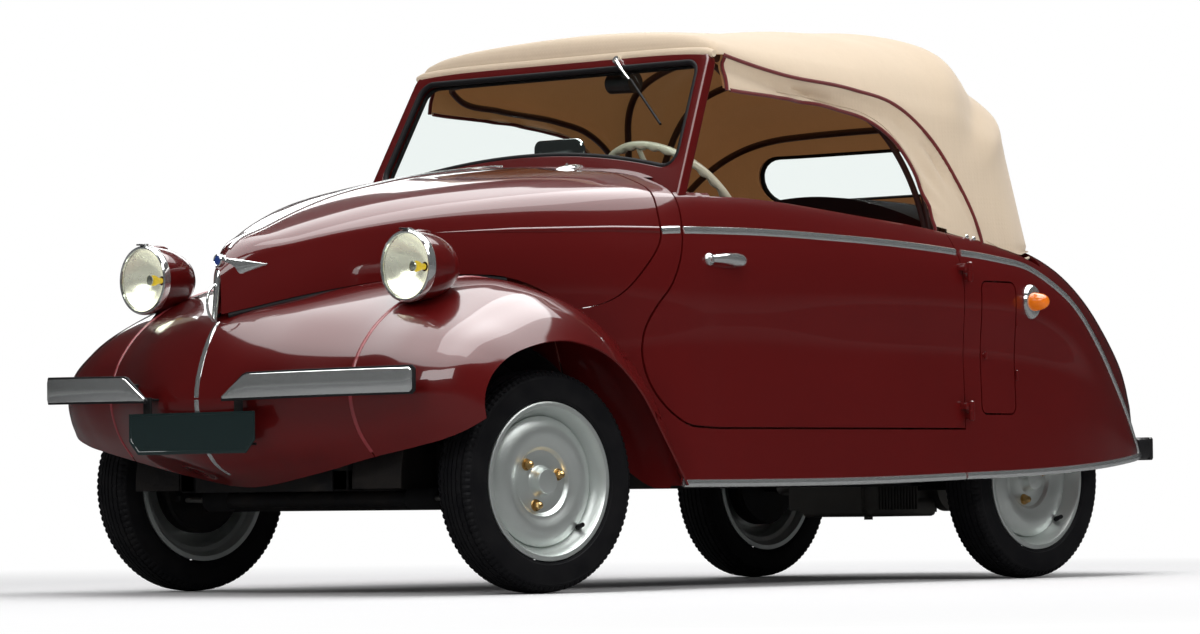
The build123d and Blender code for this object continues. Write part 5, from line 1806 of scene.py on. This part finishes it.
        rim = grid(256, 12, wheel_place, wrap=True)
        piece("steering_rim", outwards(rim), "ivory", "steering_wheel", replaces=["steering_wheel"])
        spokes = [bar(centre - axis * 46, centre + axis * 8, 24, 30, 40),
                  bar(centre + axis * 8, centre + axis * 15, 30, 16, 40)]
        for angle in (90, 210, 330):
            turn = math.radians(angle)
            out = across * math.cos(turn) + upward * math.sin(turn)
            line = [centre + out * 14 - axis * 6, centre + out * 70 - axis * 14,
                    centre + out * 140 - axis * 6, centre + out * 186]
            spokes.append(swept(line, 8, 24, 12, taper=((0, 1), (1.25, 0.75))))
        piece("steering_spokes", joined(*spokes), "ivory", "steering_wheel")
        piece("horn_button", turned([(0, 5), (9, 4), (12, 0), (0, 0)], 28, (0, 0, 0), "X", -1),
              "chrome", "steering_wheel")
        button = bpy.data.objects["horn_button"]
        turn = Matrix.Rotation(-lean, 4, "Y")
        for vert in button.data.vertices:
            vert.co = turn @ (vert.co - FRONT_AXLE) + Vector(put(centre + axis * 15)[0])
        foot = centre - axis * 412
        column = joined(bar(foot, centre - axis * 62, 17, 17, 28),
                        bar(centre - axis * 110, centre - axis * 60, 22, 24, 28),
                        box((470, -296, 600), (476, -244, 700), 2))
        piece("column_tube", column, "black", replaces=["steering_column"])
        pedals = []
        for y in (-330, -262, -170):
            pedals.append(box((566, y - 24, 388), (574, y + 24, 448), 4))
            pedals.append(bar((570, y, 430), (484, y, 560), 6))
        piece("pedals", joined(*pedals), "iron")
        lever = joined(bar((760, 6, 330), (828, -8, 520), 7, 5),
                       bar((758, 6, 322), (762, 6, 346), 34, 14, 32))
        piece("gear_lever", lever, "chrome")
        knob = bmesh.new()
        bmesh.ops.create_uvsphere(knob, u_segments=24, v_segments=16, radius=0.019,
                                  matrix=Matrix.Translation(put((832, -9, 532))[0]))
        piece("gear_knob", knob, "ivory")
        return {"FINISHED"}


# ---------------------------------------------------------------- underneath
def coil(start, end, radius, wire, turns):
    """A coil spring between two points."""
    a, b = np.array(start, float), np.array(end, float)
    t = np.linspace(0, 1, int(turns * 16) + 1)
    angle = t * turns * 2 * np.pi
    path = a + (b - a) * t[:, None] + radius * np.stack([np.cos(angle), np.sin(angle), 0 * t],
                                                        axis=1)
    return swept(path, wire, sides=8)


class CAR_OT_chassis(bpy.types.Operator):
    """Weld up the frame rails, their cross members and the horns behind the nose"""
    bl_idname = "car.chassis"
    bl_label = "Chassis"

    def execute(self, context):
        inner, outer, low, high, kick, rear = 230, 280, 235, 285, 1664, 2354
        parts = [box((x, -inner, low), (x + 40, inner, high), 3) for x in (-300, 300, 1200)]
        parts.append(box((rear - 40, -inner, 330), (rear, inner, 380), 3))
        for side, _ in SIDES:
            y0, y1 = side * inner, side * outer
            parts += [box((-300, y0, low), (kick + 50, y1, high), 4),
                      box((kick, y0, low), (kick + 50, y1, 380), 4),
                      box((kick, y0, 330), (rear, y1, 380), 4),
                      box((-300, y0, low), (-250, y1, 345), 4)]
            parts.append(box((1000, y1, 245), (1040, side * 540, high), 3))
        piece("frame_rails", joined(*parts), "iron", replaces=["chassis"])
        return {"FINISHED"}


class CAR_OT_underside(bpy.types.Operator):
    """Fit the inner wings, bellows, springs, dampers, rods and the engine's fins underneath"""
    bl_idname = "car.underside"
    bl_label = "Underside"

    def execute(self, context):
        for side, name in SIDES:
            profile = [(0, 0)]
            for k in range(9):
                profile += [(17, k * 9.0), (25, k * 9.0 + 4.5)]
            profile += [(14, 82), (0, 82)]
            bellows = turned(profile, 28, (-120, side * 300, 217), "Y", side)
            piece(f"rack_bellows_{name}", bellows, "trim_rubber")
            piece(f"tie_rod_{name}", bar((-120, side * 378, 217), (-108, side * 470, 219), 6),
                  "steel")
            spring = coil((0, side * 352, 268), (0, side * 352, 470), 38, 6.5, 6)
            piece(f"front_spring_{name}", spring, "iron")
            damper = joined(bar((46, side * 372, 236), (30, side * 356, 380), 17),
                            bar((30, side * 356, 380), (22, side * 348, 500), 8))
            piece(f"front_damper_{name}", damper, "black")
            piece(f"radius_rod_{name}", bar((-40, side * 300, 208), (360, side * 252, 226), 8),
                  "iron")
            turns = [math.radians(-28 + 236 * k / 45) for k in range(46)]
            arch = [(30 + 322 * math.cos(turn), 250 + 322 * math.sin(turn)) for turn in turns]
            arch = [p for p in arch if p[1] > 236]

            def liner(u, v, arch=np.array(arch)):
                x = np.interp(u, np.linspace(0, 1, len(arch)), arch[:, 0])
                z = np.interp(u, np.linspace(0, 1, len(arch)), arch[:, 1])
                return put(np.stack([x, side * (292 + 150 * v), z], axis=1))

            piece(f"inner_wing_{name}", walled(grid(45, 6, liner), 3), "underseal", crease=50)
            shield = prism(arch, side * 286, side * 292)
            piece(f"inner_wing_wall_{name}", shield, "underseal")
            rear = joined(bar((1894, side * 255, 300), (1830, side * 262, 420), 15),
                          bar((1830, side * 262, 420), (1810, side * 264, 470), 7))
            piece(f"rear_damper_{name}", rear, "black")
        fins = (box((x, -150, 176), (x + 4, 150, 300)) for x in range(1690, 1690 + 14 * 12, 12))
        piece("engine_fins", joined(*fins), "alloy")
        sump = joined(box((1700, -118, 158), (1966, 118, 204), 12, 3),
                      bar((1830, 0, 150), (1830, 0, 160), 12, 12, 6),
                      turned([(0, 0), (60, 0), (66, 10), (66, 40), (0, 40)], 40,
                             (2010, -96, 236), "Y", -1))
        piece("engine_sump", sump, "alloy")
        pipe = [(1760, 120, 250), (1700, 170, 236), (1900, 210, 232), (2200, 214, 262),
                (2290, 214, 284)]
        piece("exhaust_front_pipe", swept(pipe, 15, 80, 14), "steel")
        return {"FINISHED"}


NODE_FINISHES = {
    "chassis": "iron", "floor": "underseal", "engine_block": "alloy", "exhaust": "steel",
    "front_axle": "iron",
    "rear_axle": "iron", "windscreen_frame": "paint", "windscreen_glass": "glass",
    "soft_top": "canvas",
    "rear_window": "glass", "bumper_rear": "trim_rubber", "number_plate": "plate",
    "seat_cushion": "hide",
    "seat_back": "hide", "dashboard": "dark_paint", "steering_column": "iron",
    "steering_wheel": "ivory",
    "mirror": "chrome", "wiper": "chrome",
}
SIDE_NODE_FINISHES = {
    "knuckle_{}": "iron", "headlamp_{}": "paint", "headlamp_lens_{}": "lens",
    "bumper_front_{}": "chrome",
    "indicator_{}": "orange", "wheel_front_{}": "silver", "tyre_front_{}": "rubber",
    "wheel_rear_{}": "silver",
    "tyre_rear_{}": "rubber",
}


class CAR_OT_running_gear(bpy.types.Operator):
    """Finish the frame's own nodes"""
    bl_idname = "car.running_gear"
    bl_label = "Running gear"

    def execute(self, context):
        finishes = dict(NODE_FINISHES)
        for _, side in SIDES:
            finishes.update({name.format(side): finish for name,
                             finish in SIDE_NODE_FINISHES.items()})
        for name, finish in finishes.items():
            refinish(name, finish)
        return {"FINISHED"}


WHITE = (1, 1, 1, 1)
SKY_LIGHT, SKY_SHINE = (0.34, 0.34, 0.35, 1), 4.6
# (height from 0 straight down to 1 straight up, tone) of what bright metal mirrors
SKY_BANDS = ((0.0, 0.05), (0.49, 0.03), (0.515, 0.005), (0.855, 0.006), (0.862, 0.9), (0.93, 1.0),
             (1.0, 1.0))
FLOOR_TONE, FLOOR_MIRRORED = (0.9, 0.9, 0.9), (0.16, 0.16, 0.16)
# (name, place, target, width, height, power)
LAMPS = (
    ("top_box", (0.2, -0.6, 4.2), (0, 0, 0.6), 5.2, 2.2, 122),
    ("front_box", (-5.5, -2.0, 3.4), (-0.8, 0, 0.6), 3.0, 1.6, 95),
    ("left_box", (1.0, -5.8, 3.6), (0.2, 0, 0.7), 5.0, 1.2, 105),
    ("back_box", (3.5, 4.5, 3.2), (0, 0, 0.6), 4.0, 2.0, 75),
)
CAMERA_LENS = 156.0
CAMERA_PLACE = (-8.41117, -8.72999, 0.21395)  # metres from the front axle
CAMERA_AHEAD = (0.72642944, 0.68636237, 0.03474136)
CAMERA_RIGHT = (0.68700624, -0.72657414, -0.01060445)


class CAR_OT_stage(bpy.types.Operator):
    """Lay the pale floor, light the car and place the camera"""
    bl_idname = "car.stage"
    bl_label = "Stage"

    def execute(self, context):
        scene = context.scene
        scene.view_settings.view_transform = "Standard"
        scene.world = bpy.data.worlds.new("studio")
        sky = Recipe(scene.world, "ShaderNodeOutputWorld")
        height = sky.node("ShaderNodeSeparateXYZ", None,
                          {0: sky.node("ShaderNodeTexCoord", out="Generated")}, "Z")
        height = sky.node("ShaderNodeMath", {"operation": "MULTIPLY_ADD"},
                          {0: height, 1: 0.5, 2: 0.5})
        bands = sky.node("ShaderNodeValToRGB",
                         {"stops": [(up, (tone,) * 3) for up, tone in SKY_BANDS]}, {0: height})
        shine, lit, seen = (sky.node("ShaderNodeBackground", None,
                                     {"Color": colour, "Strength": strength}) for colour,
                            strength in ((bands, SKY_SHINE), (SKY_LIGHT, 1.0), (WHITE, 1.0)))
        see = sky.node("ShaderNodeMath", {"operation": "MAXIMUM"},
                       {0: sky.ray("Camera"), 1: sky.ray("Transmission")})
        sky.shown(sky.mixed(see, sky.mixed(sky.ray("Glossy"), lit, shine), seen))
        bm = bmesh.new()
        bmesh.ops.create_grid(bm, x_segments=8, y_segments=8, size=30.0)
        floor = to_object("floor_sheet", bm)
        r = Recipe("studio_floor")
        spot = r.node("ShaderNodeTexCoord", out="Object")
        away = r.node("ShaderNodeVectorMath", {"operation": "LENGTH"}, {0: spot}, "Value")
        tone = r.between(r.ray("Glossy"), FLOOR_TONE, FLOOR_MIRRORED)
        diffuse = r.node("ShaderNodeBsdfDiffuse", None, {"Color": tone})
        white = r.node("ShaderNodeEmission", None, {"Color": WHITE, "Strength": 1.0})
        share = (away * 0.4 - 0.8).clamped() * r.ray("Camera")
        floor.data.materials.append(r.shown(r.mixed(share, diffuse, white)))
        for name, where, target, width, height, power in LAMPS:
            data = bpy.data.lights.new(name, "AREA")
            data.shape, data.size, data.size_y, data.energy = "RECTANGLE", width, height, power
            lamp = bpy.data.objects.new(name, data)
            lamp.visible_glossy = name != "left_box"
            scene.collection.objects.link(lamp)
            lamp.location = where
            lamp.rotation_euler = (Vector(target) - Vector(where)).to_track_quat("-Z",
                                                                                 "Y").to_euler()
        data = bpy.data.cameras.new("view")
        data.lens, data.sensor_width, data.clip_end = CAMERA_LENS, 36.0, 200.0
        camera = bpy.data.objects.new("view", data)
        scene.collection.objects.link(camera)
        ahead, right = Vector(CAMERA_AHEAD), Vector(CAMERA_RIGHT)
        up = right.cross(ahead).normalized()
        turn = Matrix((right, up, -ahead)).transposed().to_4x4()
        x, y, z = CAMERA_PLACE
        camera.matrix_world = Matrix.Translation((x - MIDDLE_X / 1000, y, z)) @ turn
        scene.camera = camera
        return {"FINISHED"}


class CAR_PT_panel(bpy.types.Panel):
    """Sizes, colours and steps of the car"""
    bl_idname = "CAR_PT_panel"
    bl_label = "Small Soft-top Car"
    bl_space_type = "VIEW_3D"
    bl_region_type = "UI"
    bl_category = "Small Car"

    def draw(self, context):
        for group in (context.scene.car_sizes, context.scene.car_colours):
            for name in group.__annotations__:
                self.layout.prop(group, name)
        for step in STEPS:
            self.layout.operator(step.bl_idname)


STEPS = (CAR_OT_finishes, CAR_OT_body, CAR_OT_fenders, CAR_OT_wheels, CAR_OT_headlamps,
         CAR_OT_bumpers, CAR_OT_windscreen, CAR_OT_trim, CAR_OT_soft_top, CAR_OT_cabin,
         CAR_OT_chassis, CAR_OT_underside, CAR_OT_running_gear, CAR_OT_stage)
CLASSES = (CarColours, CarSizes, *STEPS, CAR_PT_panel)


def register():
    for cls in CLASSES:
        bpy.utils.register_class(cls)
    bpy.types.Scene.car_colours = bpy.props.PointerProperty(type=CarColours)
    bpy.types.Scene.car_sizes = bpy.props.PointerProperty(type=CarSizes)


def unregister():
    del bpy.types.Scene.car_colours, bpy.types.Scene.car_sizes
    for cls in reversed(CLASSES):
        bpy.utils.unregister_class(cls)


def main():
    register()
    for step in STEPS:
        group, name = step.bl_idname.split(".")
        getattr(getattr(bpy.ops, group), name)()


if __name__ == "__main__":
    main()
